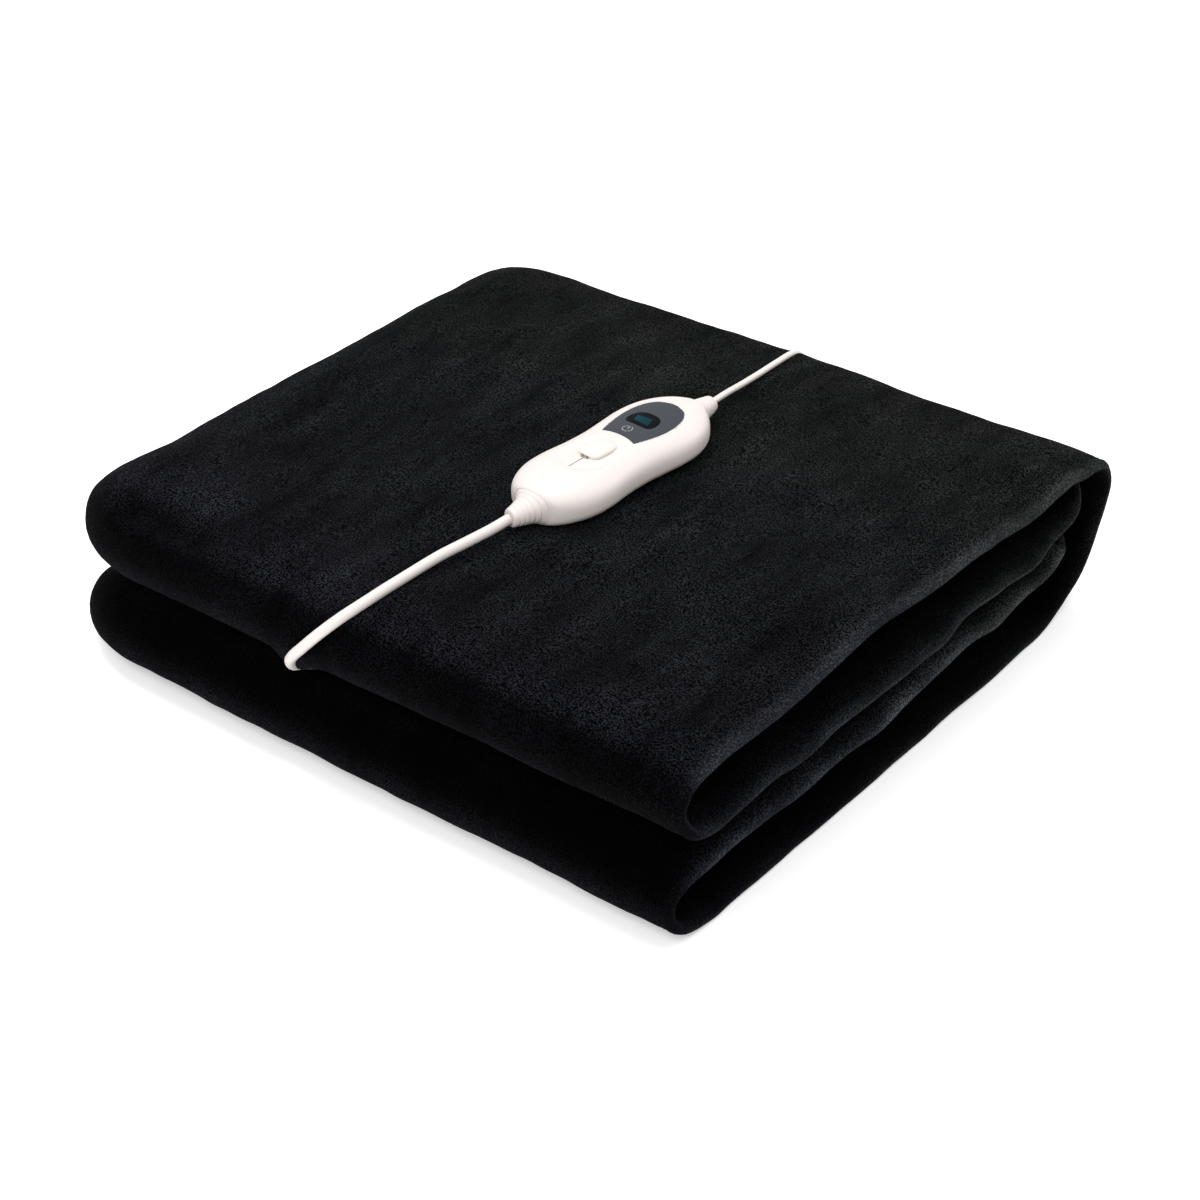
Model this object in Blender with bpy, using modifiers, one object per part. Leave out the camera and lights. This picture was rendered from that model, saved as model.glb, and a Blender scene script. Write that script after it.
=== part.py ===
"""Electric heated throw, folded into a stack, with its handset, leads and plug.

Metres, +Z up. X runs along the front folds, the layered open end faces +X, and the origin is on
the surface under the middle of the stack. Tables are in millimetres.
"""

import math

import bmesh
import bpy
import numpy as np

MM = 0.001
GAP = 0.3 * MM

# Folded stack
STACK_WIDTH = 397 * MM
STACK_MIDDLE = 1.3 * MM  # where the middle of its width stands
SHEET_THICKNESS = 6 * MM
LIP_REACH = 26 * MM  # the open end sags over this length
CLOSED_REACH = 36 * MM  # the closed end rounds off over this length
CLOSED_FULLNESS = 0.8  # 1 rounds it off as an ellipse, less is boxier
CORNER_ALONG = 62 * MM  # the closed end's corners are rounded over this length of the folds
FRONT_CORNER, BACK_CORNER = 40 * MM, 14 * MM  # and draw in this far at the left edge
FRONT_CORNER_REACH, BACK_CORNER_REACH = 60 * MM, 40 * MM
FRONT_FLAT, BACK_FLAT = -123.2 * MM, 131.8 * MM  # the corners start beyond these

# Handset
HANDSET_AT = (21.2 * MM, 4.0 * MM)
HANDSET_TURN = math.radians(-2.9)
PARTING_Z = 104.0 * MM
COVER_TOP = 12.4 * MM  # of its middle, above the parting plane
WALL = 2.4 * MM
SHELL_FULLNESS = 2.6  # 2 is an ellipse, more is boxier
ARC_FACES = 14
OVAL_FACES = 18

# Slide switch, in a shallow pocket
SWITCH_AT = -16.5 * MM  # along the handset, from its middle
SWITCH_HEIGHT, SWITCH_FULLNESS = 2.2 * MM, 3.2
POCKET_DEPTH = 1.5 * MM
STEM_LENGTH, STEM_WIDTH, STEM_DROP = 8 * MM, 1.2 * MM, 2.6 * MM
SLOT_FRONT, SLOT_BACK, SLOT_WIDTH = -37.9 * MM, -12.0 * MM, 1.8 * MM

# Display
PANEL_SINK, PANEL_THICKNESS = 1.0 * MM, 0.7 * MM
PLATE_FACES = 8  # across a plate that follows the cover
ABOVE = 4 * MM  # how far a cutter reaches past the surface it cuts

# Leads
BLANKET_LEAD = 5.4 * MM
MAINS_LEAD = 3.4 * MM
LEAD_STRIDE = 2.1  # diameters between the points of a lead
GROOVE_WIDTH, GROOVE_DEPTH = 0.9 * MM, 0.7 * MM
COIL_AT = (-28.7 * MM, 228.9 * MM)
COIL_MIDDLE = 40 * MM  # across the middle of the turns
COIL_COLUMNS, COIL_ROWS = 4, 4
COIL_BASE = 1.3 * MM
COIL_FACES = 32
TIE_THICKNESS, TIE_WIDTH = 1.0 * MM, 9 * MM
TIE_TURN = math.radians(60)

# Plug
PLUG_AT = (-100.5 * MM, 222.8 * MM, 6.85 * MM)
PLUG_FULLNESS = 3.0
PIN_LENGTH, PIN_DIAMETER, PIN_SPACING = 19 * MM, 4 * MM, 18.6 * MM

# The sheet's middle surface, followed from the inner end of the upper roll to that of the lower roll.
# setback: how far the open end stops short. y_open, z_open: at the open right end.
# sag: how much higher it is behind the lip. y_shut, z_shut: before the closed left end.
# z_edge: at the left edge. faces: up to the next row.
FOLD_PATH = (
    # setback, y_open, z_open, sag, y_shut, z_shut, z_edge, faces
    (7, 164.0, 78.0, 0, 152.8, 68.0, 65.0, 2),  # upper roll, lower layer
    (2, 157.0, 69.5, 1, 147.8, 61.0, 65.0, 2),
    (-1, 137.8, 62.8, 3, 129.8, 58.0, 65.0, 2),
    (-2, 63.8, 60.3, 4, 57.8, 56.0, 64.5, 3),
    (-2, -36.2, 58.8, 4, -42.2, 55.0, 64.0, 3),
    (-2, -114.2, 58.5, 4, -120.2, 51.5, 63.0, 2),
    (-1, -154.2, 58.8, 2, -157.2, 49.5, 63.4, 2),  # upper front fold
    (0, -171.2, 64.5, 1, -174.2, 54.5, 64.6, 2),
    (0, -177.7, 75.8, 1, -180.7, 66.5, 66.2, 2),
    (0, -172.2, 87.0, 2, -175.2, 80.0, 67.4, 2),
    (0, -156.2, 91.5, 2, -160.2, 86.0, 68.0, 2),  # upper roll, top layer
    (0, -106.2, 91.0, 2, -110.2, 88.0, 68.0, 3),
    (0, -34.2, 91.5, 2, -38.2, 88.5, 68.5, 3),
    (0, 43.8, 90.8, 2, 37.8, 88.4, 69.0, 3),
    (0, 115.8, 89.5, 2, 107.8, 89.5, 69.0, 2),
    (0, 160.8, 87.5, 1, 150.8, 88.5, 68.0, 2),
    (0, 178.3, 83.0, 1, 166.8, 84.0, 64.0, 2),  # spine
    (0, 184.8, 71.0, 0, 173.3, 72.5, 57.0, 2),
    (0, 182.3, 56.0, 0, 172.3, 55.0, 45.0, 2),
    (1, 177.8, 39.0, 0, 168.8, 37.0, 32.0, 2),
    (3, 171.8, 22.0, 0, 162.8, 21.0, 20.0, 2),
    (5, 158.8, 8.0, 0, 151.8, 7.0, 12.5, 2),
    (4, 140.8, 3.0, 0, 133.8, 3.0, 10.0, 1),  # lower roll, bottom layer
    (3, 125.8, 3.0, 0, 120.8, 3.0, 10.0, 5),
    (3, -136.2, 3.0, 0, -138.2, 3.0, 10.0, 1),
    (3, -149.2, 3.0, 0, -153.2, 3.0, 10.0, 2),
    (4, -167.2, 6.0, 0, -174.2, 6.0, 10.4, 2),  # lower front fold
    (5, -176.2, 14.0, 0, -184.7, 14.0, 11.2, 2),
    (5, -177.2, 24.0, 2, -185.2, 24.0, 12.4, 2),
    (3, -167.2, 33.0, 7, -175.2, 33.5, 13.4, 2),
    (1, -145.2, 36.5, 10, -150.2, 35.5, 14.0, 2),  # lower roll, upper layer
    (0, -101.2, 37.5, 10, -106.2, 35.5, 14.0, 3),
    (0, -38.2, 34.5, 10, -42.2, 35.0, 14.0, 3),
    (0, 43.8, 39.0, 9, 37.8, 36.0, 14.0, 3),
    (0, 111.8, 38.0, 8, 103.8, 37.0, 14.0, 2),
    (0, 138.8, 40.5, 5, 130.8, 39.5, 14.0, 2),
    (2, 150.8, 46.5, 2, 142.8, 44.5, 14.0, 2),
    (8, 153.8, 54.0, 0, 145.8, 50.0, 14.0, 0),
)

# Soft unevenness of the top layer: where, how far it reaches each way, and how high.
TOP_WAVES = (
    # x, y, reach_x, reach_y, lift
    (201.3, -34.2, 75, 36, 5.0),
    (201.3, 49.8, 60, 30, 2.5),
    (201.3, 107.8, 55, 28, -2.5),
    (-166.7, -124.2, 36, 26, 2.5),
    (-138.7, -66.2, 45, 40, -2.5),
    (-58.7, 153.8, 80, 26, -2.0),
    (111.3, -146.2, 60, 24, 1.5),
)

# Handset housing along its length, from the front end.
HANDSET_OUTLINE = (
    # along, half_width, rise, drop
    (-64.4, 11.4, 8.8, 8.0),
    (-63.1, 14.2, 9.6, 8.4),
    (-59.5, 18.2, 10.5, 8.9),
    (-53.1, 22.0, 11.5, 9.2),
    (-44.2, 24.7, 12.2, 9.4),
    (-32.4, 25.1, 12.4, 9.4),
    (-17.7, 23.5, 12.4, 9.4),
    (-3, 23.2, 12.4, 9.4),
    (10.6, 24.5, 12.4, 9.4),
    (22.9, 25.5, 12.4, 9.4),
    (35.3, 24.2, 12.2, 9.4),
    (45, 20.3, 11.4, 9.2),
    (51.6, 15.5, 10.2, 8.7),
    (56, 11.0, 8.7, 8.0),
    (57.8, 8.7, 7.9, 7.5),
)

# Outlines on the cover, each the same on both sides of the handset's axis.
POCKET_OUTLINE = (
    # along, half_width
    (-42.7, 1.5),
    (-41.8, 5.6),
    (-38.3, 10.6),
    (-32.7, 13.8),
    (-24.6, 15.0),
    (-16.9, 13.8),
    (-11.3, 10.6),
    (-7.3, 5.6),
    (-6.3, 1.5),
)
PANEL_OUTLINE = (
    # along, half_width
    (-1.7, 10.8),
    (8.3, 13.7),
    (18.3, 15.3),
    (28.3, 14.6),
    (35.3, 11.9),
    (39.9, 7.6),
    (42.0, 2.2),
)
WINDOW_OUTLINE = (
    # along, half_width
    (12.9, 6.4),
    (13.9, 7.8),
    (16.5, 8.8),
    (19.3, 8.8),
    (21.6, 8.2),
    (23.6, 7.0),
    (25.0, 5.2),
    (25.8, 3.0),
    (26.0, 1.4),
)
SWITCH_OUTLINE = (
    # along, half_width, height, as parts of the switch's height
    (-9.4, 3.2, 0.45),
    (-8.7, 5.2, 0.72),
    (-6.8, 6.6, 0.9),
    (-3.2, 7.1, 1.0),
    (0, 7.2, 1.0),
    (3.2, 7.1, 1.0),
    (6.8, 6.6, 0.9),
    (8.7, 5.2, 0.72),
    (9.4, 3.2, 0.45),
)

# Ribbed strain reliefs, from the housing out, and how far they turn sideways and down by their tip.
FRONT_RELIEF = (
    # along, half_width, half_height
    (0, 9.0, 7.6),
    (2.6, 8.2, 7.2),
    (4.4, 7.2, 6.6),
    (14, 4.7, 4.6),
)
FRONT_RELIEF_TURN = math.radians(12), math.radians(5)
FRONT_RIBS = 5
BACK_RELIEF = (
    # along, half_width, half_height
    (0, 8.0, 7.0),
    (4, 6.4, 6.0),
    (14.2, 4.5, 4.4),
)
BACK_RELIEF_TURN = math.radians(-8), math.radians(4)
BACK_RIBS = 4

# Plug, with its own relief, from the lead out to its face.
PLUG_OUTLINE = (
    # along, half_width, half_height
    (0, 2.9, 2.9),
    (22, 5.0, 4.8),
    (27, 8.6, 6.0),
    (34, 13.4, 6.6),
    (44, 16.8, 6.8),
    (52, 17.2, 6.85),
)

# Routes picked by hand: the blanket lead from the handset's front end into the front gap,
# and the mains lead from its back end, over the back fold and down to the coil.
BLANKET_LEAD_ROUTE = (
    (15.7, -74.7, 103.3),
    (15.2, -78.5, 102.9),
    (14.0, -85.6, 102.1),
    (12.5, -92.4, 101.4),
    (10.8, -99.0, 100.6),
    (9.1, -105.8, 99.9),
    (7.4, -113.2, 99.2),
    (6.2, -121.5, 98.5),
    (5.1, -131.5, 97.6),
    (4.3, -142.0, 97.0),
    (3.9, -150.5, 96.7),
    (3.5, -158.5, 96.2),
    (2.5, -166.0, 95.2),
    (0.5, -173.4, 93.2),
    (-2.9, -180.2, 89.4),
    (-8.4, -184.7, 83.2),
    (-15.4, -186.1, 75.3),
    (-22.0, -185.7, 68.1),
    (-27.2, -183.4, 61.6),
    (-30.8, -178.4, 54.8),
    (-33.0, -170.1, 50.0),
    (-34.2, -160.4, 47.6),
    (-34.8, -149.8, 47.0),
)
MAINS_LEAD_ROUTE = (
    (23.8, 76.5, 103.5),
    (23.3, 80.5, 103.2),
    (22.4, 88.0, 102.4),
    (21.2, 97.0, 101.1),
    (19.9, 107.0, 99.4),
    (18.5, 118.0, 97.8),
    (17.1, 129.0, 96.3),
    (15.7, 140.0, 95.0),
    (14.2, 151.0, 93.5),
    (12.8, 161.0, 92.1),
    (11.6, 169.3, 90.4),
    (11.1, 175.9, 87.8),
    (11.0, 180.5, 83.0),
    (11.2, 183.4, 76.4),
    (11.6, 185.0, 68.6),
    (12.2, 185.9, 60.0),
    (12.8, 186.8, 50.6),
    (13.4, 188.6, 40.4),
    (13.4, 192.0, 28.6),
    (11.8, 196.8, 16.8),
    (7.2, 201.1, 8.6),
    (-0.6, 203.4, 4.2),
    (-7.0, 203.8, 3.1),
    (-12.2, 203.8, 3.0),
)
PLUG_LEAD_ROUTE = (
    (-45.2, 203.8, 13.2),
    (-51.7, 204.1, 12.6),
    (-59.7, 205.8, 11.2),
    (-67.7, 209.4, 9.4),
    (-75.2, 214.0, 7.9),
    (-81.7, 218.2, 7.1),
    (-87.7, 221.4, 6.9),
    (-93.7, 222.8, 6.85),
    (-100.2, 222.8, 6.85),
)


def clear_scene():
    for obj in list(bpy.data.objects):
        bpy.data.objects.remove(obj, do_unlink=True)


def collection(name):
    made = bpy.data.collections.new(name)
    bpy.context.scene.collection.children.link(made)
    return made


def finish(name, colour, roughness, metallic=0.0):
    material = bpy.data.materials.new(name)
    material.use_nodes = True
    shader = material.node_tree.nodes["Principled BSDF"]
    shader.inputs["Base Color"].default_value = (*colour, 1)
    shader.inputs["Roughness"].default_value = roughness
    shader.inputs["Metallic"].default_value = metallic
    return material


def place(name, data, into, material, parent=None):
    """A named object for a mesh or a curve, in its collection, with its finish."""
    obj = bpy.data.objects.new(name, data)
    into.objects.link(obj)
    data.materials.append(material)
    obj.parent = parent
    return obj


def mesh_from(bm, name, smooth=True):
    mesh = bpy.data.meshes.new(name)
    bm.to_mesh(mesh)
    bm.free()
    if smooth:
        mesh.shade_smooth()
        mesh.set_sharp_from_angle(angle=math.radians(40))
    return mesh


def between(a, b, t, start, end):
    """The value at t on the line that is a at start and b at end."""
    return (a * (end - t) + b * (t - start)) / (end - start)


def smooth_through(rows, faces, measured_columns):
    """Rows on a smooth curve through the given rows, with faces[i] steps from row i to the next.

    The curve is a centripetal Catmull-Rom curve. Its knots follow the distance between rows in
    the first measured_columns columns.
    """
    rows = np.array(rows, float)
    rows = np.vstack([2 * rows[0] - rows[1], rows, 2 * rows[-1] - rows[-2]])
    strides = np.linalg.norm(np.diff(rows[:, :measured_columns], axis=0), axis=1)
    knots = np.concatenate([[0], np.cumsum(np.sqrt(strides))])
    found = []
    for i, count in enumerate(faces):
        k0, k1, k2, k3 = knots[i : i + 4]
        p0, p1, p2, p3 = rows[i : i + 4]
        for t in np.linspace(k1, k2, count, endpoint=False):
            a = between(p0, p1, t, k0, k1)
            b = between(p1, p2, t, k1, k2)
            c = between(p2, p3, t, k2, k3)
            found.append(between(between(a, b, t, k0, k2), between(b, c, t, k1, k3), t, k1, k2))
    found.append(rows[len(faces) + 1])
    return np.array(found)


def quarter_round(far, reach):
    """1 from reach onwards, falling along a quarter circle to 0 at the edge."""
    short = max(0, 1 - far / reach)
    return math.sqrt(1 - min(1, short) ** 2)


def sheet_stations():
    """Distances from the left edge, from the open end to the closed end, closer together at both."""
    lip_steps, middle_steps, corner_steps, rounding_steps = 3, 9, 2, 6
    lip = [STACK_WIDTH - LIP_REACH * (i / lip_steps) ** 1.5 for i in range(lip_steps)]
    middle = list(np.linspace(STACK_WIDTH - LIP_REACH, CORNER_ALONG, middle_steps, endpoint=False))
    corner = list(np.linspace(CORNER_ALONG, CLOSED_REACH, corner_steps, endpoint=False))
    turns = np.linspace(0, math.pi / 2, rounding_steps + 1)
    return lip + middle + corner + [CLOSED_REACH * (1 - math.sin(turn)) for turn in turns]


def drawn_in(y, far):
    """The corners of the closed end draw in, towards the middle of the stack."""
    hollow = 1 - quarter_round(far, CORNER_ALONG)
    if y < FRONT_FLAT:
        return FRONT_FLAT + (y - FRONT_FLAT) * (1 - FRONT_CORNER / FRONT_CORNER_REACH * hollow)
    if y > BACK_FLAT:
        return BACK_FLAT + (y - BACK_FLAT) * (1 - BACK_CORNER / BACK_CORNER_REACH * hollow)
    return y


def top_wave(x, y):
    """Soft unevenness of the top layer at a place."""
    lift = 0
    for at_x, at_y, reach_x, reach_y, height in TOP_WAVES:
        far = ((x / MM - at_x) / reach_x) ** 2 + ((y / MM - at_y) / reach_y) ** 2
        lift += height * MM * math.exp(-far)
    return lift


def sheet_point(row, far):
    """The point of the folded sheet's middle surface for a row of the fold path and a distance from the left edge."""
    setback, y_open, z_open, sag, y_shut, z_shut, z_edge = row * MM
    shut = 1 - far / STACK_WIDTH
    y = y_open + (y_shut - y_open) * shut
    z = z_open + sag + (z_shut - z_open - sag) * shut
    at_lip = max(0, 1 - (STACK_WIDTH - far) / LIP_REACH)
    z -= sag * at_lip**2
    x = STACK_MIDDLE + far - STACK_WIDTH / 2 - setback * at_lip
    on_top = min(1, max(0, (z - 76 * MM) / (8 * MM)))
    z += top_wave(x, y) * on_top
    fullness = quarter_round(far, CLOSED_REACH) ** CLOSED_FULLNESS
    return x, drawn_in(y, far), z_edge + (z - z_edge) * fullness


def make_blanket(into, material):
    """One plush sheet in four loose layers: a grid laid on the fold path, then given its thickness."""
    path = smooth_through([row[:-1] for row in FOLD_PATH], [row[-1] for row in FOLD_PATH[:-1]], 3)
    stations = sheet_stations()
    bm = bmesh.new()
    bmesh.ops.create_grid(bm, x_segments=len(stations) - 1, y_segments=len(path) - 1, size=1)
    for vert in bm.verts:
        far = stations[round((1 - vert.co.x) / 2 * (len(stations) - 1))]
        row = path[round((1 + vert.co.y) / 2 * (len(path) - 1))]
        vert.co = sheet_point(row, far)
    blanket = place("blanket", mesh_from(bm, "blanket"), into, material)
    solidify = blanket.modifiers.new("sheet thickness", "SOLIDIFY")
    solidify.thickness = SHEET_THICKNESS
    solidify.offset = 0
    solidify.use_even_offset = True
    solidify.use_quality_normals = True


def loft(rings, name):
    """A closed mesh through rings of points, with a face over each end."""
    bm = bmesh.new()
    rows = [[bm.verts.new(point) for point in ring] for ring in rings]
    bm.faces.new(rows[0])
    bm.faces.new(rows[-1])
    for row, after in zip(rows, rows[1:]):
        for i in range(len(row)):
            bm.faces.new((row[i - 1], row[i], after[i], after[i - 1]))
    bmesh.ops.recalc_face_normals(bm, faces=bm.faces)
    return mesh_from(bm, name)


def cut(obj, cutters, name, data, operation="DIFFERENCE"):
    """Cuts a shape out of an object or joins it on. The cutter is hidden, and stands where the object does."""
    cutter = bpy.data.objects.new(name, data)
    cutters.objects.link(cutter)
    cutter.location = obj.location
    cutter.rotation_euler = obj.rotation_euler
    cutter.hide_render = True
    cutter.display_type = "WIRE"
    boolean = obj.modifiers.new(name, "BOOLEAN")
    boolean.operation = operation
    boolean.solver = "EXACT"
    boolean.object = cutter


def on_handset(name, data, into, material):
    """Places a mesh made about the middle of the handset, with its axis along Y."""
    obj = place(name, data, into, material)
    obj.location = (*HANDSET_AT, PARTING_Z)
    obj.rotation_euler.z = HANDSET_TURN
    return obj


def housing_rows(steps):
    """Rows of the housing's outline in metres: along, half_width, rise, drop."""
    return smooth_through(HANDSET_OUTLINE, [steps] * (len(HANDSET_OUTLINE) - 1), 1) * MM


def half_section(along, width, height, fullness, floor):
    """Half a superellipse standing on a flat floor."""
    ring = []
    for i in range(ARC_FACES + 1):
        angle = math.pi * i / ARC_FACES
        across = -math.copysign(abs(math.cos(angle)) ** (2 / fullness), math.cos(angle)) * width
        ring.append((across, along, floor + height * math.sin(angle) ** (2 / fullness)))
    return ring


def housing_half(name, upper, inset):
    """The cover's or the base's outer shape or, with an inset, the hollow inside it."""
    facing = 1 if upper else -1
    floor = facing * (GAP / 2 - inset)
    rings = []
    for along, width, rise, drop in housing_rows(1 if inset else 2):
        along *= 1 - inset / (HANDSET_OUTLINE[-1][0] * MM)
        top = facing * ((rise if upper else drop) - inset)
        rings.append(half_section(along, width - inset, top - floor, SHELL_FULLNESS, floor))
    return loft(rings, name)


def cover_height(across, along):
    """Height of the cover's outer surface above the parting plane."""
    rows = housing_rows(2)
    width = float(np.interp(along, rows[:, 0], rows[:, 1]))
    rise = float(np.interp(along, rows[:, 0], rows[:, 2])) - GAP / 2
    inside = 1 - min(1, abs(across) / width) ** SHELL_FULLNESS
    return GAP / 2 + rise * inside ** (1 / SHELL_FULLNESS)


def cover_plate(outline, name, inset, top, bottom):
    """A plate that follows the cover, over an outline, between two distances from the surface."""
    rings = []
    rows = smooth_through(outline, [2] * (len(outline) - 1), 1) * MM
    for along, width in rows:
        along = min(rows[-1][0] - inset, max(rows[0][0] + inset, along))
        across = np.linspace(inset - width, width - inset, PLATE_FACES + 1)
        upper = [(x, along, cover_height(x, along) + top) for x in across]
        lower = [(x, along, cover_height(x, along) + bottom) for x in across[::-1]]
        rings.append(upper + lower)
    return loft(rings, name)


def box(width, front, back, bottom, top, name):
    """A box across the handset's axis."""
    ring = ((-width / 2, bottom), (width / 2, bottom), (width / 2, top), (-width / 2, top))
    return loft([[(x, along, z) for x, z in ring] for along in (front, back)], name)


def make_cover(into, cutters, material):
    cover = on_handset("handset_cover", housing_half("handset_cover", True, 0), into, material)
    cut(cover, cutters, "cover_hollow", housing_half("cover_hollow", True, WALL))
    pocket = cover_plate(POCKET_OUTLINE, "switch_pocket", 0, ABOVE, -POCKET_DEPTH)
    cut(cover, cutters, "switch_pocket", pocket)
    recess = cover_plate(PANEL_OUTLINE, "panel_recess", -GAP, ABOVE, -PANEL_SINK)
    cut(cover, cutters, "panel_recess", recess)
    bottom, top = COVER_TOP - 2 * WALL, COVER_TOP + ABOVE
    slot = box(SLOT_WIDTH, SLOT_FRONT, SLOT_BACK, bottom, top, "switch_slot")
    cut(cover, cutters, "switch_slot", slot)


def make_base(into, cutters, material):
    base = on_handset("handset_base", housing_half("handset_base", False, 0), into, material)
    cut(base, cutters, "base_hollow", housing_half("base_hollow", False, WALL))


def make_display(into, cutters, panel_finish, window_finish):
    """The slate panel in the cover's recess, and the dark window set into it."""
    top = PANEL_THICKNESS + GAP - PANEL_SINK
    mesh = cover_plate(PANEL_OUTLINE, "display_panel", 0, top, top - PANEL_THICKNESS)
    panel = on_handset("display_panel", mesh, into, panel_finish)
    cut(panel, cutters, "window_hole", cover_plate(WINDOW_OUTLINE, "window_hole", -GAP, ABOVE, -ABOVE))
    mesh = cover_plate(WINDOW_OUTLINE, "display_window", 0, top, top - PANEL_THICKNESS)
    on_handset("display_window", mesh, into, window_finish)


def make_switch(into, cutters, material):
    """The slide switch at rest, with the stem that runs in the cover's slot."""
    floor = COVER_TOP - POCKET_DEPTH + GAP
    rings = []
    for along, width, part in SWITCH_OUTLINE:
        along = SWITCH_AT + along * MM
        rings.append(half_section(along, width * MM, part * SWITCH_HEIGHT, SWITCH_FULLNESS, floor))
    switch = on_handset("slide_switch", loft(rings, "slide_switch"), into, material)
    front, back = SWITCH_AT - STEM_LENGTH / 2, SWITCH_AT + STEM_LENGTH / 2
    stem = box(STEM_WIDTH, front, back, floor - STEM_DROP, floor + SWITCH_HEIGHT / 2, "switch_stem")
    cut(switch, cutters, "switch_stem", stem, "UNION")


def relief_steps(pitch, ribs):
    """Distances along a ribbed relief, each with how deep its groove is there."""
    slope = GROOVE_WIDTH / 4
    steps = []
    for rib in range(ribs):
        start, end = rib * pitch, (rib + 1) * pitch
        steps.append((start, 0))
        if end < ribs * pitch:
            steps += [(end - GROOVE_WIDTH, 0), (end - GROOVE_WIDTH + slope, GROOVE_DEPTH)]
            steps.append((end - slope, GROOVE_DEPTH))
    steps.append((ribs * pitch, 0))
    return steps


def relief(name, profile, turns, ribs, heading, start):
    """A ribbed relief along the handset's axis that turns sideways and down towards its tip."""
    table = np.array(profile) * MM
    length = table[-1][0]
    rings = []
    centre = np.array((0.0, start, 0.0))
    reached = 0.0
    for along, groove in relief_steps(length / ribs, ribs):
        yaw, dip = turns[0] * along / length, turns[1] * along / length
        ahead = np.array((math.sin(yaw), math.cos(yaw), 0)) * heading - (0, 0, math.tan(dip))
        ahead /= np.linalg.norm(ahead)
        centre = centre + ahead * (along - reached)
        reached = along
        side = np.cross(ahead, (0, 0, 1))
        side /= np.linalg.norm(side)
        width = np.interp(along, table[:, 0], table[:, 1]) - groove
        height = np.interp(along, table[:, 0], table[:, 2]) - groove
        rings.append(oval(centre, side * width, np.cross(side, ahead) * height, 2))
    return loft(rings, name)


def make_reliefs(into, material):
    """The strain reliefs at the housing's two ends, a little clear of it."""
    front, back = HANDSET_OUTLINE[0][0] * MM - GAP, HANDSET_OUTLINE[-1][0] * MM + GAP
    mesh = relief("relief_front", FRONT_RELIEF, FRONT_RELIEF_TURN, FRONT_RIBS, -1, front)
    on_handset("relief_front", mesh, into, material)
    mesh = relief("relief_back", BACK_RELIEF, BACK_RELIEF_TURN, BACK_RIBS, 1, back)
    on_handset("relief_back", mesh, into, material)


def oval(centre, side, over, fullness):
    """A ring of points, a superellipse between two half axes."""
    ring = []
    for i in range(OVAL_FACES):
        angle = 2 * math.pi * i / OVAL_FACES
        across = math.copysign(abs(math.cos(angle)) ** (2 / fullness), math.cos(angle))
        up = math.copysign(abs(math.sin(angle)) ** (2 / fullness), math.sin(angle))
        ring.append(centre + side * across + over * up)
    return ring


def make_lead(name, route, diameter, into, material):
    """A round lead, with points at even distances along a smooth curve through its route."""
    fine = smooth_through(route, [10] * (len(route) - 1), 3) * MM
    run = np.concatenate([[0], np.cumsum(np.linalg.norm(np.diff(fine, axis=0), axis=1))])
    count = round(run[-1] / (LEAD_STRIDE * diameter)) + 1
    stops = np.linspace(0, run[-1], count)
    curve = bpy.data.curves.new(name, "CURVE")
    curve.dimensions = "3D"
    curve.bevel_depth = diameter / 2
    curve.bevel_resolution = 3
    curve.use_fill_caps = True
    spline = curve.splines.new("POLY")
    spline.points.add(count - 1)
    for point, stop in zip(spline.points, stops):
        point.co = (*(np.interp(stop, run, fine[:, i]) for i in range(3)), 1)
    place(name, curve, into, material)


def torus(loops, name, smooth=True):
    """A closed mesh through loops of points, with the last loop joined to the first."""
    bm = bmesh.new()
    rows = [[bm.verts.new(point) for point in loop] for loop in loops]
    for i in range(len(rows)):
        for j in range(len(rows[i])):
            bm.faces.new((rows[i - 1][j - 1], rows[i - 1][j], rows[i][j], rows[i][j - 1]))
    bmesh.ops.recalc_face_normals(bm, faces=bm.faces)
    return mesh_from(bm, name, smooth)


def round_the_coil(section, turn):
    """The points of a cross-section of the coil's ring at a turn round it."""
    points = []
    for out, up in section:
        out += COIL_MIDDLE / 2
        x, y = COIL_AT[0] + out * math.cos(turn), COIL_AT[1] + out * math.sin(turn)
        points.append((x, y, COIL_BASE + COIL_ROWS * MAINS_LEAD / 2 + up))
    return points


def make_coil(into, lead_finish, tie_finish):
    """The spare lead as one ring of its turns, and the tie round them."""
    half_across, half_up = COIL_COLUMNS * MAINS_LEAD / 2, COIL_ROWS * MAINS_LEAD / 2
    corner = MAINS_LEAD / 2
    section = []
    for quarter, side, end in ((0, 1, 1), (1, -1, 1), (2, -1, -1), (3, 1, -1)):
        for step in range(3):
            angle = (quarter + step / 2) * math.pi / 2
            out = side * (half_across - corner) + corner * math.cos(angle)
            section.append((out, end * (half_up - corner) + corner * math.sin(angle)))
    turns = np.linspace(0, 2 * math.pi, COIL_FACES, endpoint=False)
    mesh = torus([round_the_coil(section, turn) for turn in turns], "lead_coil")
    place("lead_coil", mesh, into, lead_finish)

    reach = TIE_WIDTH / COIL_MIDDLE
    turns = np.linspace(TIE_TURN - reach, TIE_TURN + reach, 5)
    loops = []
    for allowance, order in ((GAP + TIE_THICKNESS, turns), (GAP, turns[::-1])):
        x, z = half_across + allowance, half_up + allowance
        corners = ((x, z), (-x, z), (-x, -z), (x, -z))
        loops += [round_the_coil(corners, turn) for turn in order]
    place("lead_tie", torus(loops, "lead_tie", smooth=False), into, tie_finish)


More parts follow.
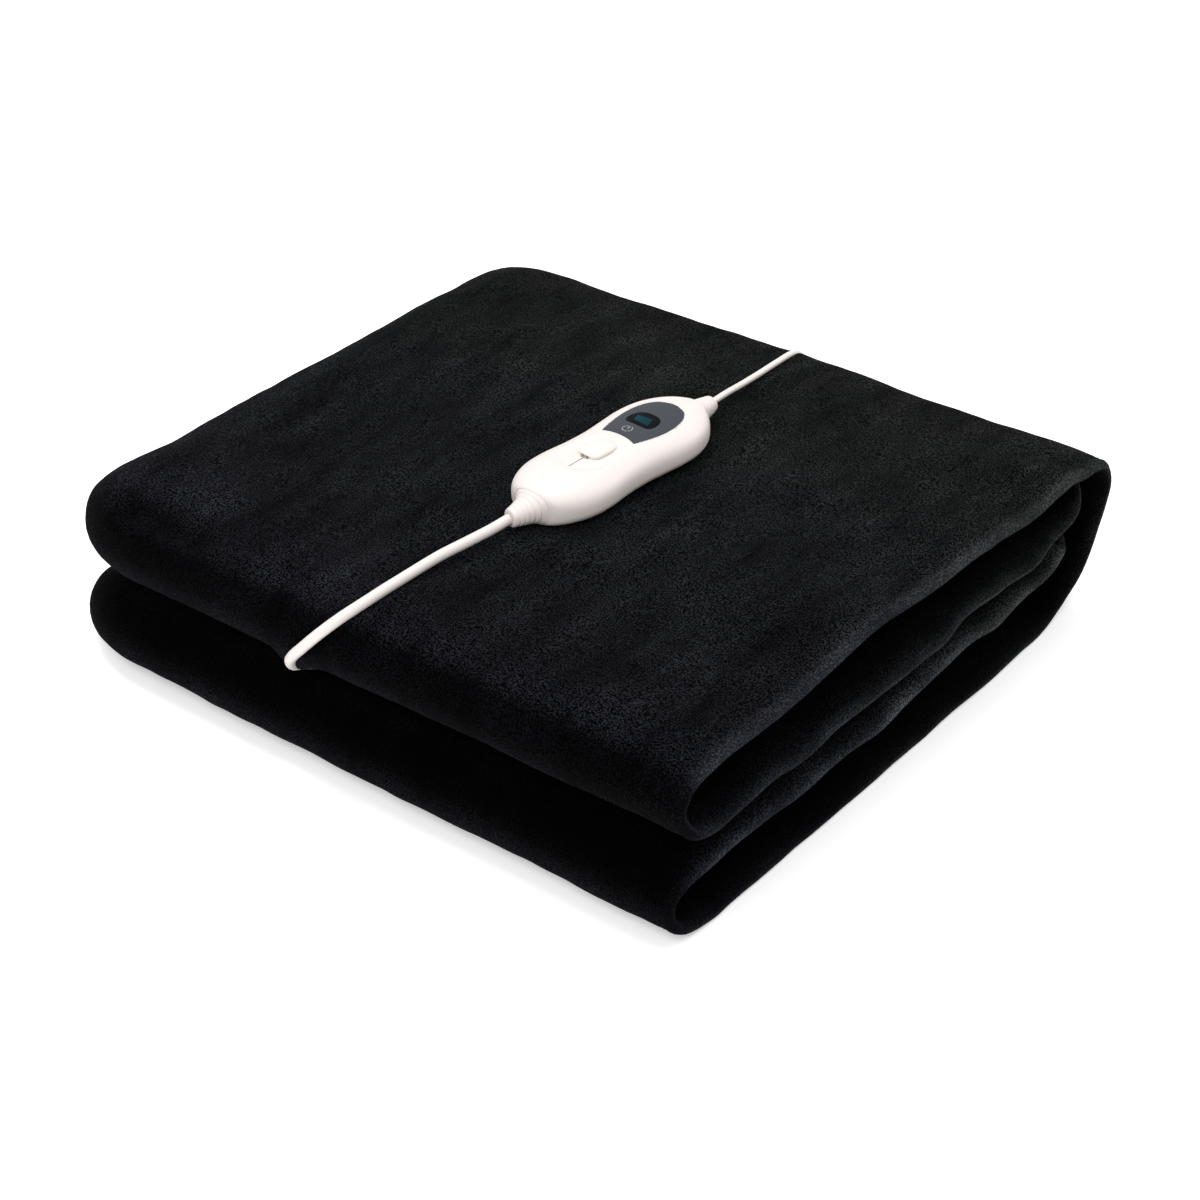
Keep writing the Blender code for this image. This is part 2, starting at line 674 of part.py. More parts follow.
def make_plug(into, body_finish, pin_finish):
    """The moulded plug, lying flat with its pins towards -X."""
    ahead = np.array((-1, 0, 0))
    across, up = np.array((0, 1, 0)), np.array((0, 0, 1))
    rings = []
    for along, width, height in smooth_through(PLUG_OUTLINE, [2] * (len(PLUG_OUTLINE) - 1), 1) * MM:
        rings.append(oval(np.array(PLUG_AT) + ahead * along, across * width, up * height, PLUG_FULLNESS))
    place("plug_body", loft(rings, "plug_body"), into, body_finish)
    face = PLUG_OUTLINE[-1][0] * MM + GAP
    for i, side in enumerate((-0.5, 0.5)):
        rings = []
        for along, part in ((0, 1), (PIN_LENGTH - MM, 1), (PIN_LENGTH, 0.5)):
            centre = np.array(PLUG_AT) + ahead * (face + along) + across * side * PIN_SPACING
            radius = part * PIN_DIAMETER / 2
            rings.append(oval(centre, across * radius, up * radius, 2))
        name = f"plug_pin_{i + 1}"
        place(name, loft(rings, name), into, pin_finish)


def main():
    clear_scene()
    parts = collection("heated_throw")
    cutters = collection("cutters")
    plush = finish("charcoal plush", (0.012, 0.013, 0.015), 0.95)
    housing = finish("warm white gloss plastic", (0.72, 0.66, 0.63), 0.25)
    slate = finish("slate printed panel", (0.06, 0.07, 0.085), 0.4)
    window = finish("dark display window", (0.004, 0.007, 0.012), 0.15)
    flex = finish("white flexible lead", (0.7, 0.66, 0.62), 0.4)
    rubber = finish("black tie", (0.02, 0.02, 0.02), 0.6)
    pin = finish("plated plug pin", (0.6, 0.58, 0.52), 0.25, 1.0)

    make_blanket(parts, plush)
    make_base(parts, cutters, housing)
    make_cover(parts, cutters, housing)
    make_display(parts, cutters, slate, window)
    make_switch(parts, cutters, housing)
    make_reliefs(parts, housing)
    make_lead("blanket_lead", BLANKET_LEAD_ROUTE, BLANKET_LEAD, parts, flex)
    make_lead("mains_lead", MAINS_LEAD_ROUTE, MAINS_LEAD, parts, flex)
    make_coil(parts, flex, rubber)
    make_lead("plug_lead", PLUG_LEAD_ROUTE, MAINS_LEAD, parts, flex)
    make_plug(parts, flex, pin)


main()
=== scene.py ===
import math

import bpy
import numpy as np
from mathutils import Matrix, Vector, noise


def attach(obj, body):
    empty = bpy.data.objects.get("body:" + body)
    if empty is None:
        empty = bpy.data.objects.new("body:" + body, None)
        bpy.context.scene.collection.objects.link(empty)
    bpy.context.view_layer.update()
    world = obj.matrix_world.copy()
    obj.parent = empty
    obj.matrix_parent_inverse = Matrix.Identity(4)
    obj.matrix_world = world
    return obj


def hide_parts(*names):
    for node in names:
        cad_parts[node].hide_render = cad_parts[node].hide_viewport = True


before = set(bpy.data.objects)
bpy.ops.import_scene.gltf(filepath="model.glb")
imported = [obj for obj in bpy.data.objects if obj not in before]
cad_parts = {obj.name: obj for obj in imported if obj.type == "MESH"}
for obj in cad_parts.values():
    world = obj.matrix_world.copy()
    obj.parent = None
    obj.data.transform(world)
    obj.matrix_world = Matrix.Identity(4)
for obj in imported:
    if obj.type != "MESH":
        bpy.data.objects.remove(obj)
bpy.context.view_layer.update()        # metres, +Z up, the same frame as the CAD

bpy.ops.object.select_all(action="DESELECT")
MM = 0.001

# ----------------------------------------------------------------------
# The throw: a thick sheet of knitted microfibre plush with a turned and stitched edge, folded in
# four over its length. It is one sheet laid row by row on the fold path of the CAD solid, with its
# creases placed one by one, and given its thickness and a rounded edge on every side.

# The sheet's middle, from the inner end of the upper roll to that of the lower roll.
FOLD_PATH = (
    # setback, y_open, z_open, sag, y_shut, z_shut, z_edge, steps
    (7, 164.0, 78.0, 0, 152.8, 68.0, 65.0, 3),  # upper roll, lower layer
    (2, 157.0, 69.5, 1, 147.8, 61.0, 65.0, 4),
    (-1, 137.8, 62.8, 3, 129.8, 58.0, 65.0, 8),
    (-2, 63.8, 60.3, 4, 57.8, 56.0, 64.5, 12),
    (-2, -36.2, 58.8, 4, -42.2, 55.0, 64.0, 10),
    (-2, -114.2, 58.5, 4, -120.2, 51.5, 63.0, 8),
    (-1, -154.2, 58.8, 2, -157.2, 49.5, 63.4, 5),  # upper front fold
    (0, -171.2, 64.5, 1, -174.2, 54.5, 64.6, 4),
    (0, -177.7, 75.8, 1, -180.7, 66.5, 66.2, 4),
    (0, -172.2, 87.0, 2, -175.2, 80.0, 67.4, 5),
    (0, -156.2, 91.5, 2, -160.2, 86.0, 68.0, 15),  # upper roll, top layer
    (0, -106.2, 91.0, 2, -110.2, 88.0, 68.0, 20),
    (0, -34.2, 91.5, 2, -38.2, 88.5, 68.5, 22),
    (0, 43.8, 90.8, 2, 37.8, 88.4, 69.0, 20),
    (0, 115.8, 89.5, 2, 107.8, 89.5, 69.0, 12),
    (0, 160.8, 87.5, 1, 150.8, 88.5, 68.0, 5),
    (0, 178.3, 83.0, 1, 166.8, 84.0, 64.0, 4),  # spine
    (0, 184.8, 71.0, 0, 173.3, 72.5, 57.0, 5),
    (0, 182.3, 56.0, 0, 172.3, 55.0, 45.0, 5),
    (1, 177.8, 39.0, 0, 168.8, 37.0, 32.0, 5),
    (3, 171.8, 22.0, 0, 162.8, 21.0, 20.0, 5),
    (5, 158.8, 8.0, 0, 151.8, 7.0, 12.5, 4),
    (4, 140.8, 3.0, 0, 133.8, 3.0, 10.0, 2),  # lower roll, bottom layer
    (3, 125.8, 3.0, 0, 120.8, 3.0, 10.0, 24),
    (3, -136.2, 3.0, 0, -138.2, 3.0, 10.0, 3),
    (3, -149.2, 3.0, 0, -153.2, 3.0, 10.0, 5),
    (4, -167.2, 6.0, 0, -174.2, 6.0, 10.4, 4),  # lower front fold
    (5, -176.2, 14.0, 0, -184.7, 14.0, 11.2, 4),
    (5, -177.2, 24.0, 2, -185.2, 24.0, 12.4, 4),
    (3, -167.2, 33.0, 7, -175.2, 33.5, 13.4, 6),
    (1, -145.2, 36.5, 10, -150.2, 35.5, 14.0, 8),  # lower roll, upper layer
    (0, -101.2, 37.5, 10, -106.2, 35.5, 14.0, 8),
    (0, -38.2, 34.5, 10, -42.2, 35.0, 14.0, 10),
    (0, 43.8, 39.0, 9, 37.8, 36.0, 14.0, 9),
    (0, 111.8, 38.0, 8, 103.8, 37.0, 14.0, 5),
    (0, 138.8, 40.5, 5, 130.8, 39.5, 14.0, 4),
    (2, 150.8, 46.5, 2, 142.8, 44.5, 14.0, 3),
    (8, 153.8, 54.0, 0, 145.8, 50.0, 14.0, 0),
)
# Soft unevenness of the top layer.
TOP_WAVES = (
    # x, y, reach_x, reach_y, lift
    (201.3, -34.2, 75, 36, 5.0),
    (201.3, 49.8, 60, 30, 2.5),
    (201.3, 107.8, 55, 28, -2.5),
    (-166.7, -124.2, 36, 26, 2.5),
    (-138.7, -66.2, 45, 40, -2.5),
    (-58.7, 153.8, 80, 26, -2.0),
    (111.3, -146.2, 60, 24, 1.5),
)
STACK_WIDTH, STACK_MIDDLE, SHEET_THICKNESS = 397, 1.3, 6
LIP_REACH, CLOSED_REACH, CLOSED_FULLNESS, CORNER_ALONG = 26, 36, 0.8, 62
FRONT_CORNER, BACK_CORNER, FRONT_CORNER_REACH, BACK_CORNER_REACH = 40, 14, 60, 40
FRONT_FLAT, BACK_FLAT = -123.2, 131.8
# Distances in from the open edge, with the turned edge and its two rows of stitches among them.
LIP_STATIONS = (0, 0.5, 1.4, 3, 4.2, 5.4, 6.6, 7.8, 9.2, 11.2, 14, 17.5, 21.5, 26)
STITCH_ROWS, STITCH_DEPTH, STITCH_WIDTH = (5.4, 7.8), 0.35, 0.9
TOP_LAYER = (76, 84)  # the heights between which the top layer's waves come in
# How far the free edge wanders in and out, and up and down, and the length of its waves. It does so
# less in the bottom and the top layer, and changes between these heights.
WANDER_IN, WANDER_UP, WANDER_LENGTH, WANDER_ONSET = 3.0, 3.0, 30, 1.5
OUTER_WANDER, OVER_BOTTOM, UNDER_TOP = 0.3, (8, 14), (82, 76)
UNEVEN, UNEVEN_LENGTH, FINE_UNEVEN, FINER = 0.9, 38, 0.35, 3.3
FLAT_STEPS, CORNER_STEPS, CLOSED_STEPS = 98, 8, 14


def ramp(value, start, end):
    """0 up to start, 1 from end onwards and straight between. Either of the two may be the greater."""
    return np.clip((value - start) / (end - start), 0, 1)


def bell(away, reach):
    """1 at no distance, and 0.37 at the reach."""
    return np.exp(-((away / reach) ** 2))


def eased(part):
    """A part from 0 to 1 with a soft start and end."""
    return part * part * (3 - 2 * part)


def between(a, b, t, start, end):
    """The value at t on the line that is a at start and b at end."""
    return (a * (end - t) + b * (t - start)) / (end - start)


def smooth_through(rows, steps, measured_columns):
    """Rows on a centripetal Catmull-Rom curve through the given rows, steps[i] from row i to the next,
    or the same number of steps between all."""
    rows = np.array(rows, float)
    steps = [steps] * (len(rows) - 1) if isinstance(steps, int) else steps
    rows = np.vstack([2 * rows[0] - rows[1], rows, 2 * rows[-1] - rows[-2]])
    strides = np.linalg.norm(np.diff(rows[:, :measured_columns], axis=0), axis=1)
    knots = np.concatenate([[0], np.cumsum(np.sqrt(strides))])
    found = []
    for i, count in enumerate(steps):
        k0, k1, k2, k3 = knots[i : i + 4]
        p0, p1, p2, p3 = rows[i : i + 4]
        for t in np.linspace(k1, k2, count, endpoint=False):
            a = between(p0, p1, t, k0, k1)
            b = between(p1, p2, t, k1, k2)
            c = between(p2, p3, t, k2, k3)
            found.append(between(between(a, b, t, k0, k2), between(b, c, t, k1, k3), t, k1, k2))
    found.append(rows[len(steps) + 1])
    return np.array(found)


def quarter_round(far, reach):
    """1 from reach onwards, falling along a quarter circle to 0 at the edge."""
    return np.sqrt(1 - ramp(far, reach, 0) ** 2)


def sheet_middle(path, far):
    """The folded sheet's middle surface, path rows by distances from the left edge, in mm."""
    setback, y_open, z_open, sag, y_shut, z_shut, z_edge = (path[:, i : i + 1] for i in range(7))
    far = far[None, :]
    shut = 1 - far / STACK_WIDTH
    y = y_open + (y_shut - y_open) * shut
    z = z_open + sag + (z_shut - z_open - sag) * shut
    at_lip = ramp(far, STACK_WIDTH - LIP_REACH, STACK_WIDTH)
    z = z - sag * at_lip**2
    x = STACK_MIDDLE + far - STACK_WIDTH / 2 - setback * at_lip
    on_top = ramp(z, *TOP_LAYER)
    for at_x, at_y, reach_x, reach_y, lift in TOP_WAVES:
        z = z + on_top * lift * bell(x - at_x, reach_x) * bell(y - at_y, reach_y)
    z = z_edge + (z - z_edge) * quarter_round(far, CLOSED_REACH) ** CLOSED_FULLNESS
    hollow = 1 - quarter_round(far, CORNER_ALONG)
    front = FRONT_FLAT + (y - FRONT_FLAT) * (1 - FRONT_CORNER / FRONT_CORNER_REACH * hollow)
    back = BACK_FLAT + (y - BACK_FLAT) * (1 - BACK_CORNER / BACK_CORNER_REACH * hollow)
    y = np.where(y < FRONT_FLAT, front, np.where(y > BACK_FLAT, back, y))
    return np.stack(np.broadcast_arrays(x, y, z), axis=-1)


def wandered(points, far):
    """The free edge of the inner layers wanders, and that of the top and bottom layers does a little."""
    at_lip = ramp(far, STACK_WIDTH - LIP_REACH, STACK_WIDTH) ** WANDER_ONSET
    strides = np.linalg.norm(np.diff(points[:, 0], axis=0), axis=-1)
    moved = points.copy()
    for j, run in enumerate(np.concatenate([[0], np.cumsum(strides)])):
        height = points[j, 0, 2]
        inner = min(ramp(height, *OVER_BOTTOM), ramp(height, *UNDER_TOP))
        share = OUTER_WANDER + (1 - OUTER_WANDER) * inner
        at = Vector((run / WANDER_LENGTH, 0.4, 0.2))
        moved[j, :, 0] += WANDER_IN * share * noise.noise(at) * at_lip
        moved[j, :, 2] += WANDER_UP * share * noise.noise(at + Vector((7.3, 0, 0))) * at_lip
    return moved


def grid_normals(points):
    """Normals of a grid of points whose rows follow the path and whose columns run in from the open edge."""
    along = np.gradient(points, axis=0)
    inward = np.gradient(points, axis=1)
    normals = np.cross(along, inward)
    return normals / np.maximum(np.linalg.norm(normals, axis=-1, keepdims=True), 1e-9)


# Creases, soft ridges and hollows of the sheet, each along a line between two places on it.
CREASES = (
    # x, y, z, to_x, to_y, to_z, width, lift
    (-196, -95, 72, -170, -150, 70, 12, -2.0),
    (-178, -150, 88, -160, -156, 89, 10, 2.6),
    (-150, -166, 88, -104, -167, 89, 9, -2.2),
    (-112, -106, 92, -92, -108, 92, 3.2, -1.0),
    (-112, -100, 92, -92, -102, 92, 4.0, 0.7),
    (-172, 100, 91, -160, 124, 91, 3.2, -1.0),
    (-178, 104, 90, -166, 128, 91, 5.0, 0.9),
    (170, 150, 91, 196, 160, 90, 5.0, -1.2),
    (176, 136, 92, 200, 144, 91, 6.0, 1.2),
    (140, -110, 93, 186, -96, 94, 16, 1.2),
    (60, -150, 93, 130, -138, 94, 14, -1.0),
    (-60, 60, 92, -10, 96, 92, 20, 0.8),
)
# The cloth rises a little to the leads that lie on it, and is drawn round the blanket lead's sewn end.
LEAD_BEDS = (
    # x, y, z, to_x, to_y, to_z, width, lift
    (4, -126, 94, 1.6, -168, 92, 14, 0.9),
    (-2, -176, 88, -27, -181, 63, 9, 1.0),
    (-31, -180, 55, -34, -158, 50, 10, 6.5),
    (17, 120, 93, 13, 162, 91, 12, 0.5),
    (-60, 176, 86, 60, 176, 86, 14, 1.1),
    (11.3, 172, 90, 11, 182, 76, 8, 1.0),
)


def lift_along(rows, points):
    """How far the creases or beds in a table move each point along its normal."""
    lift = np.zeros(points.shape[:2])
    for row in rows:
        start, end, (width, height) = np.array(row[0:3]), np.array(row[3:6]), row[6:]
        run = end - start
        part = np.clip((points - start) @ run / (run @ run), 0, 1)
        away = np.linalg.norm(points - start - part[..., None] * run, axis=-1)
        lift += height * bell(away, width)
    return lift


def uneven(points):
    """The soft unevenness of a thick cloth that has been folded by hand."""
    lift = np.zeros(points.shape[:2])
    for j in range(points.shape[0]):
        for i in range(points.shape[1]):
            at = Vector(points[j, i] / UNEVEN_LENGTH)
            lift[j, i] = UNEVEN * noise.noise(at) + FINE_UNEVEN * noise.noise(at * FINER)
    return lift


path = smooth_through([row[:-1] for row in FOLD_PATH], [row[-1] for row in FOLD_PATH[:-1]], 3)
far = np.concatenate([
    STACK_WIDTH - np.array(LIP_STATIONS),
    np.linspace(STACK_WIDTH - LIP_REACH, CORNER_ALONG, FLAT_STEPS)[1:],
    np.linspace(CORNER_ALONG, CLOSED_REACH, CORNER_STEPS)[1:],
    CLOSED_REACH * (1 - np.sin(np.linspace(0, math.pi / 2, CLOSED_STEPS)[1:])),
])
middle = wandered(sheet_middle(path, far), far)
normals = grid_normals(middle)
creases = lift_along(CREASES, middle)
middle = middle + normals * (creases + lift_along(LEAD_BEDS, middle) + uneven(middle))[..., None]
normals = grid_normals(middle)


def run_along(points, axis):
    """Distance along the rows or the columns of a grid of points."""
    strides = np.linalg.norm(np.diff(points, axis=axis), axis=-1)
    zero = np.zeros_like(strides[:1] if axis == 0 else strides[:, :1])
    return np.concatenate([zero, np.cumsum(strides, axis=axis)], axis=axis)


run_in, run_down = run_along(middle, 1), run_along(middle, 0)
to_edge = np.minimum.reduce([run_in, run_in[:, -1:] - run_in, run_down, run_down[-1:] - run_down])
rounded = SHEET_THICKNESS / 2 * quarter_round(to_edge, SHEET_THICKNESS / 2)
for row in STITCH_ROWS:
    rounded = rounded - STITCH_DEPTH * bell(run_in - row, STITCH_WIDTH)
outer = middle + normals * rounded[..., None]
inner = middle - normals * rounded[..., None]
outer[..., 2] = np.maximum(outer[..., 2], 0)

# How light the pile looks, as painted light and shade. Painted shade darkens the faces that look to
# the front, the front of the lower roll in the shade under the upper one, the hollows of the creases
# and the inside of the rolls; painted light and sheen lighten the open edge, the ridges of the creases
# and low on both front folds. The lower roll is darker all over, and some patches are darker or lighter.
# Painted shade and painted light: how much darker or lighter each place is made, and how far it reaches.
FRONT_DARKER, LOWER_TONE, EDGE_LIGHTER, EDGE_REACH = 0.85, 0.6, 1.5, 5.0
CREASE_SHADE, CREASE_DARKEST, CREASE_LIGHTEST = 0.22, 0.4, 1.3
UNDER_LIGHTER, SHADE_DARKER, FOOT_LIGHTER, RIM_REACH = 5.5, 0.75, 5.5, 9.0
INSIDE, INSIDE_LIP, LOWER_INSIDE_LIP, INSIDE_REACH = 0.08, 0.5, 0.14, 15.0
BETWEEN, BETWEEN_LIP, BETWEEN_REACH = 0.12, 2.2, 10.5
STREAK_LENGTH, STREAK, PATCH_LENGTH, PATCH = 9, 0.5, 34, 0.7
EDGE_SHEEN, EDGE_SHEEN_REACH = 0.3, 6.0
# The heights or the depths between which each of these places comes in.
LOWER_ROLL, UNDER_FOLD, OVER_GAP, FOLD_FRONT = (50, 44), (72, 60), (44, 48), (-140, -152)
ROLL_FRONT, OVER_FOOT, FOOT = (-120, -140), (20, 32), (26, 12)
GAP_FLOOR, GAP_ROOF, GAP_BACK, GAP_FRONT = (24, 30), (58, 52), (160, 154), (-168, -154)
UPPER_ROLL, BEFORE_SPINE = (50, 55), (162, 156)
FACING = (0.1, 0.8)  # how much of the normal points to the front
# Patches of the pile made darker or lighter at given places.
TONE_PATCHES = (
    # x, y, reach_x, reach_y, lightness
    (-120, -60, 60, 60, -0.3),
    (-125, -166, 45, 14, -0.5),
    (-160, 60, 40, 70, -0.15),
    (150, -60, 50, 70, -0.25),
    (60, -130, 90, 40, -0.3),
    (-60, -110, 60, 40, -0.15),
    (185, -120, 34, 70, -0.3),
    (-60, -184, 90, 10, 0.3),
    (180, 150, 40, 30, 0.2),
)
depth, height = middle[..., 1], middle[..., 2]
off_rim = 1 - bell(run_in, RIM_REACH)
facing_front = eased(ramp(-normals[..., 1], *FACING))
lower_roll = ramp(height, *LOWER_ROLL)
# Painted sheen low on the upper front fold, under its turn.
under_fold_sheen = off_rim * ramp(height, *UNDER_FOLD) * ramp(height, *OVER_GAP) * ramp(depth, *FOLD_FRONT)
at_front = off_rim * ramp(depth, *ROLL_FRONT)
shaded = at_front * ramp(height, *OVER_FOOT) * lower_roll
# Painted light low on the front of the lower roll.
lit_foot = at_front * ramp(height, *FOOT)
# Painted highlight along the open edge.
edge_highlight = 1 + EDGE_LIGHTER * bell(run_in, EDGE_REACH)
# Painted shade on faces that look to the front; the lower roll is darker all over.
outer_painted_light_and_patches = edge_highlight * (1 - FRONT_DARKER * facing_front) * (1 - (1 - LOWER_TONE) * lower_roll)
# Painted shade in the creases' hollows and painted light on their ridges.
outer_painted_light_and_patches = outer_painted_light_and_patches * np.clip(1 + CREASE_SHADE * creases, CREASE_DARKEST, CREASE_LIGHTEST)
outer_painted_light_and_patches = outer_painted_light_and_patches * (1 + UNDER_LIGHTER * under_fold_sheen)
outer_painted_light_and_patches = outer_painted_light_and_patches * (1 - SHADE_DARKER * shaded) * (1 + FOOT_LIGHTER * lit_foot)
for at_x, at_y, reach_x, reach_y, lightness in TONE_PATCHES:
    near = bell(middle[..., 0] - at_x, reach_x) * bell(depth - at_y, reach_y)
    outer_painted_light_and_patches = outer_painted_light_and_patches * (1 + lightness * near)
# The layers that look out from inside the rolls, and into the gap between them, are painted dark, with
# painted light only near the open edge, in streaks and patches.
lit_streaks = np.zeros_like(run_in)
for j in range(lit_streaks.shape[0]):
    streak = STREAK * noise.noise(Vector((run_down[j, 0] / STREAK_LENGTH, 0.3, 4.1)))
    lit_streaks[j] = 1 + streak + PATCH * noise.noise(Vector((run_down[j, 0] / PATCH_LENGTH, 2.3, 0.7)))
in_gap = ramp(height, *GAP_FLOOR) * ramp(height, *GAP_ROOF) * ramp(depth, *GAP_BACK) * ramp(depth, *GAP_FRONT)
in_gap = in_gap * (run_down > run_down[-1:] / 2)
lit = BETWEEN + (BETWEEN_LIP * lit_streaks - BETWEEN) * bell(run_in, BETWEEN_REACH)
outer_painted_light_and_patches = outer_painted_light_and_patches * (1 + (lit - 1) * in_gap)
in_upper = ramp(height, *UPPER_ROLL) * ramp(depth, *BEFORE_SPINE)
inside_lip = LOWER_INSIDE_LIP + (INSIDE_LIP - LOWER_INSIDE_LIP) * in_upper
inner_painted_shade_and_light = edge_highlight * (INSIDE + (inside_lip * lit_streaks - INSIDE) * bell(run_in, INSIDE_REACH))
# Along the open edge a painted sheen lightens the dark between the tufts.
painted_edge_sheen = EDGE_SHEEN * bell(run_in, EDGE_SHEEN_REACH)


def corners(grid):
    """The four corners of each cell of a grid, going round it."""
    return np.stack((grid[:-1, :-1], grid[1:, :-1], grid[1:, 1:], grid[:-1, 1:]), axis=-1).reshape(-1, 4)


def both_sides(upper, lower):
    """Values over the outer surface, then those over the inner one within the rim that they share."""
    shape = (-1,) + upper.shape[2:]
    return np.concatenate([upper.reshape(shape), lower[1:-1, 1:-1].reshape(shape)])


# One closed mesh: the outer surface over all the rows and columns, the inner one within the rim.
rows, columns = middle.shape[:2]
index = np.arange(rows * columns).reshape(rows, columns)
under = index.copy()
under[1:-1, 1:-1] = rows * columns + np.arange((rows - 2) * (columns - 2)).reshape(rows - 2, columns - 2)
faces = np.concatenate([corners(index), corners(under)[:, ::-1]])
on_sheet = np.stack([run_in, run_down], axis=-1)
on_sheet = both_sides(on_sheet, on_sheet) * MM
mesh = bpy.data.meshes.new("throw_sheet")
mesh.from_pydata((both_sides(outer, inner) * MM).tolist(), [], faces.tolist())
mesh.uv_layers.new(name="sheet").data.foreach_set("uv", on_sheet[faces.ravel()].ravel())
# The pile's painted light and shade, with its patches, and the painted sheen of its edge go onto the mesh.
for attribute, upper, lower in (("painted_light_and_patches", outer_painted_light_and_patches, inner_painted_shade_and_light), ("painted_edge_sheen", painted_edge_sheen, painted_edge_sheen)):
    values = both_sides(upper, lower).astype(np.float32)
    mesh.attributes.new(attribute, "FLOAT", "POINT").data.foreach_set("value", values)
mesh.shade_smooth()


def new_object(name, data):
    """An object of the scene that shows a mesh or a curve, or is a light or a camera."""
    obj = bpy.data.objects.new(name, data)
    bpy.context.scene.collection.objects.link(obj)
    return obj


throw = new_object("throw_sheet", mesh)


def linear(hex_colour):
    """An sRGB hex colour as linear RGBA."""
    parts = [int(hex_colour[i : i + 2], 16) / 255 for i in (1, 3, 5)]
    return (*[p / 12.92 if p <= 0.04045 else ((p + 0.055) / 1.055) ** 2.4 for p in parts], 1)


def material(name, colour, roughness, **sockets):
    """A material whose shader's own sockets hold what is the same all over."""
    made = bpy.data.materials.new(name)
    made.use_nodes = True
    shader = made.node_tree.nodes["Principled BSDF"]
    shader.inputs["Base Color"].default_value = linear(colour)
    shader.inputs["Roughness"].default_value = roughness
    for socket, value in sockets.items():
        shader.inputs[socket.replace("_", " ")].default_value = value
    return made


def feed(made, socket, output):
    """Links a node's output to a socket of a material's shader."""
    made.node_tree.links.new(output, made.node_tree.nodes["Principled BSDF"].inputs[socket])


def add(made, kind, sockets, **settings):
    """Adds a node to a material. A socket is given a value, or another node's output to link."""
    node = made.node_tree.nodes.new("ShaderNode" + kind)
    for name, value in settings.items():
        setattr(node, name, value)
    for socket, value in sockets.items():
        if isinstance(value, bpy.types.NodeSocket):
            made.node_tree.links.new(value, node.inputs[socket])
        else:
            node.inputs[socket].default_value = value
    return node


def coordinates(made, kind="Object", scale=None):
    """The object's own coordinates, or its UV map, stretched along each axis if a scale is given."""
    found = add(made, "TexCoord", {}).outputs[kind]
    if scale:
        found = add(made, "Mapping", {"Vector": found, "Scale": scale}).outputs["Vector"]
    return found


def blend(made, factor, low, high, start=0.0, end=1.0):
    """A colour that goes from low to high as a factor goes from start to end."""
    node = add(made, "ValToRGB", {"Fac": factor})
    for element, place, colour in zip(node.color_ramp.elements, (start, end), (low, high)):
        element.position = place
        element.color = colour
    return node.outputs["Color"]


def bump(made, height, strength, distance):
    """Lets a height roughen a material's surface."""
    node = add(made, "Bump", {"Height": height, "Strength": strength, "Distance": distance})
    feed(made, "Normal", node.outputs["Normal"])


# Knitted microfibre plush, cut and brushed: near black between the tufts and grey at their tips,
# with a faint sheen where it is seen along the surface. The pile leans in soft patches along the
# sheet, so it is darker and lighter in places. Tufts are about 0.5 mm across, drawn at 0.9 mm to show.
plush = material("charcoal_microfibre_plush", "#17181a", 1.0, Sheen_Weight=0.016, Sheen_Roughness=0.3,
                 Sheen_Tint=linear("#c8cac8"), Specular_IOR_Level=0.02)
tufts = add(plush, "TexNoise", {"Vector": coordinates(plush), "Scale": 1150.0, "Detail": 1.0,
                                "Roughness": 0.6})
# A painted sheen lifts the darkest tufts along the open edge.
edge_sheen_lift = add(plush, "Attribute", {}, attribute_name="painted_edge_sheen")
tips = add(plush, "MapRange", {"Value": tufts.outputs["Fac"], "From Min": 0.46, "From Max": 0.6,
                               "To Min": edge_sheen_lift.outputs["Fac"]})
tuft_colour = blend(plush, tips.outputs["Result"], linear("#000000"), linear("#222323"))
lean = add(plush, "TexNoise", {"Vector": coordinates(plush, "UV", (52.0, 16.0, 1.0)), "Scale": 1.0,
                               "Detail": 4.0, "Roughness": 0.6})
patches = blend(plush, lean.outputs["Fac"], (0.36, 0.36, 0.43, 1), (1.75, 1.77, 1.7, 1), 0.3, 0.72)
leaning = add(plush, "Mix", {0: 1.0, 6: tuft_colour, 7: patches}, data_type="RGBA", blend_type="MULTIPLY")
# The dye is a little bluer at the front and greener at the back.
place_on_throw = add(plush, "SeparateXYZ", {"Vector": coordinates(plush)})
from_front = add(plush, "MapRange", {"Value": place_on_throw.outputs["Y"], "From Min": -0.18,
                                     "From Max": 0.18})
dye = blend(plush, from_front.outputs["Result"], (1.0, 0.98, 1.36, 1), (0.99, 1.06, 0.94, 1))
dyed = add(plush, "Mix", {0: 1.0, 6: leaning.outputs[2], 7: dye}, data_type="RGBA", blend_type="MULTIPLY")
# Painted shade and painted light from the sheet scale the plush's colour.
painted_light_and_patches = add(plush, "Attribute", {}, attribute_name="painted_light_and_patches")
with_painted_light = add(plush, "VectorMath", {"Vector": dyed.outputs[2], "Scale": painted_light_and_patches.outputs["Fac"]}, operation="SCALE")
feed(plush, "Base Color", with_painted_light.outputs["Vector"])
bump(plush, tufts.outputs["Fac"], strength=0.9, distance=0.0015)


def pick(obj):
    """Makes an object the only one selected, and the active one."""
    bpy.ops.object.select_all(action="DESELECT")
    obj.select_set(True)
    bpy.context.view_layer.objects.active = obj


def finish_piece(obj, finish, smooth_angle, body, slot, *nodes):
    """Gives a piece its material and the body that it rides on, hides the CAD nodes that it stands for,
    and smooths its shading over edges up to an angle, if one is given."""
    obj.data.materials.clear()
    obj.data.materials.append(finish)
    if smooth_angle:
        pick(obj)
        bpy.ops.object.shade_smooth_by_angle(angle=math.radians(smooth_angle))
    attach(obj, body)
    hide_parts(*nodes)


finish_piece(throw, plush, None, "throw", "plush", "blanket")

# ----------------------------------------------------------------------
# The blanket lead: a round lead in soft white PVC from the handset's front end, over the front fold
# and into the gap between the two rolls, where it is sewn to the heating wires.

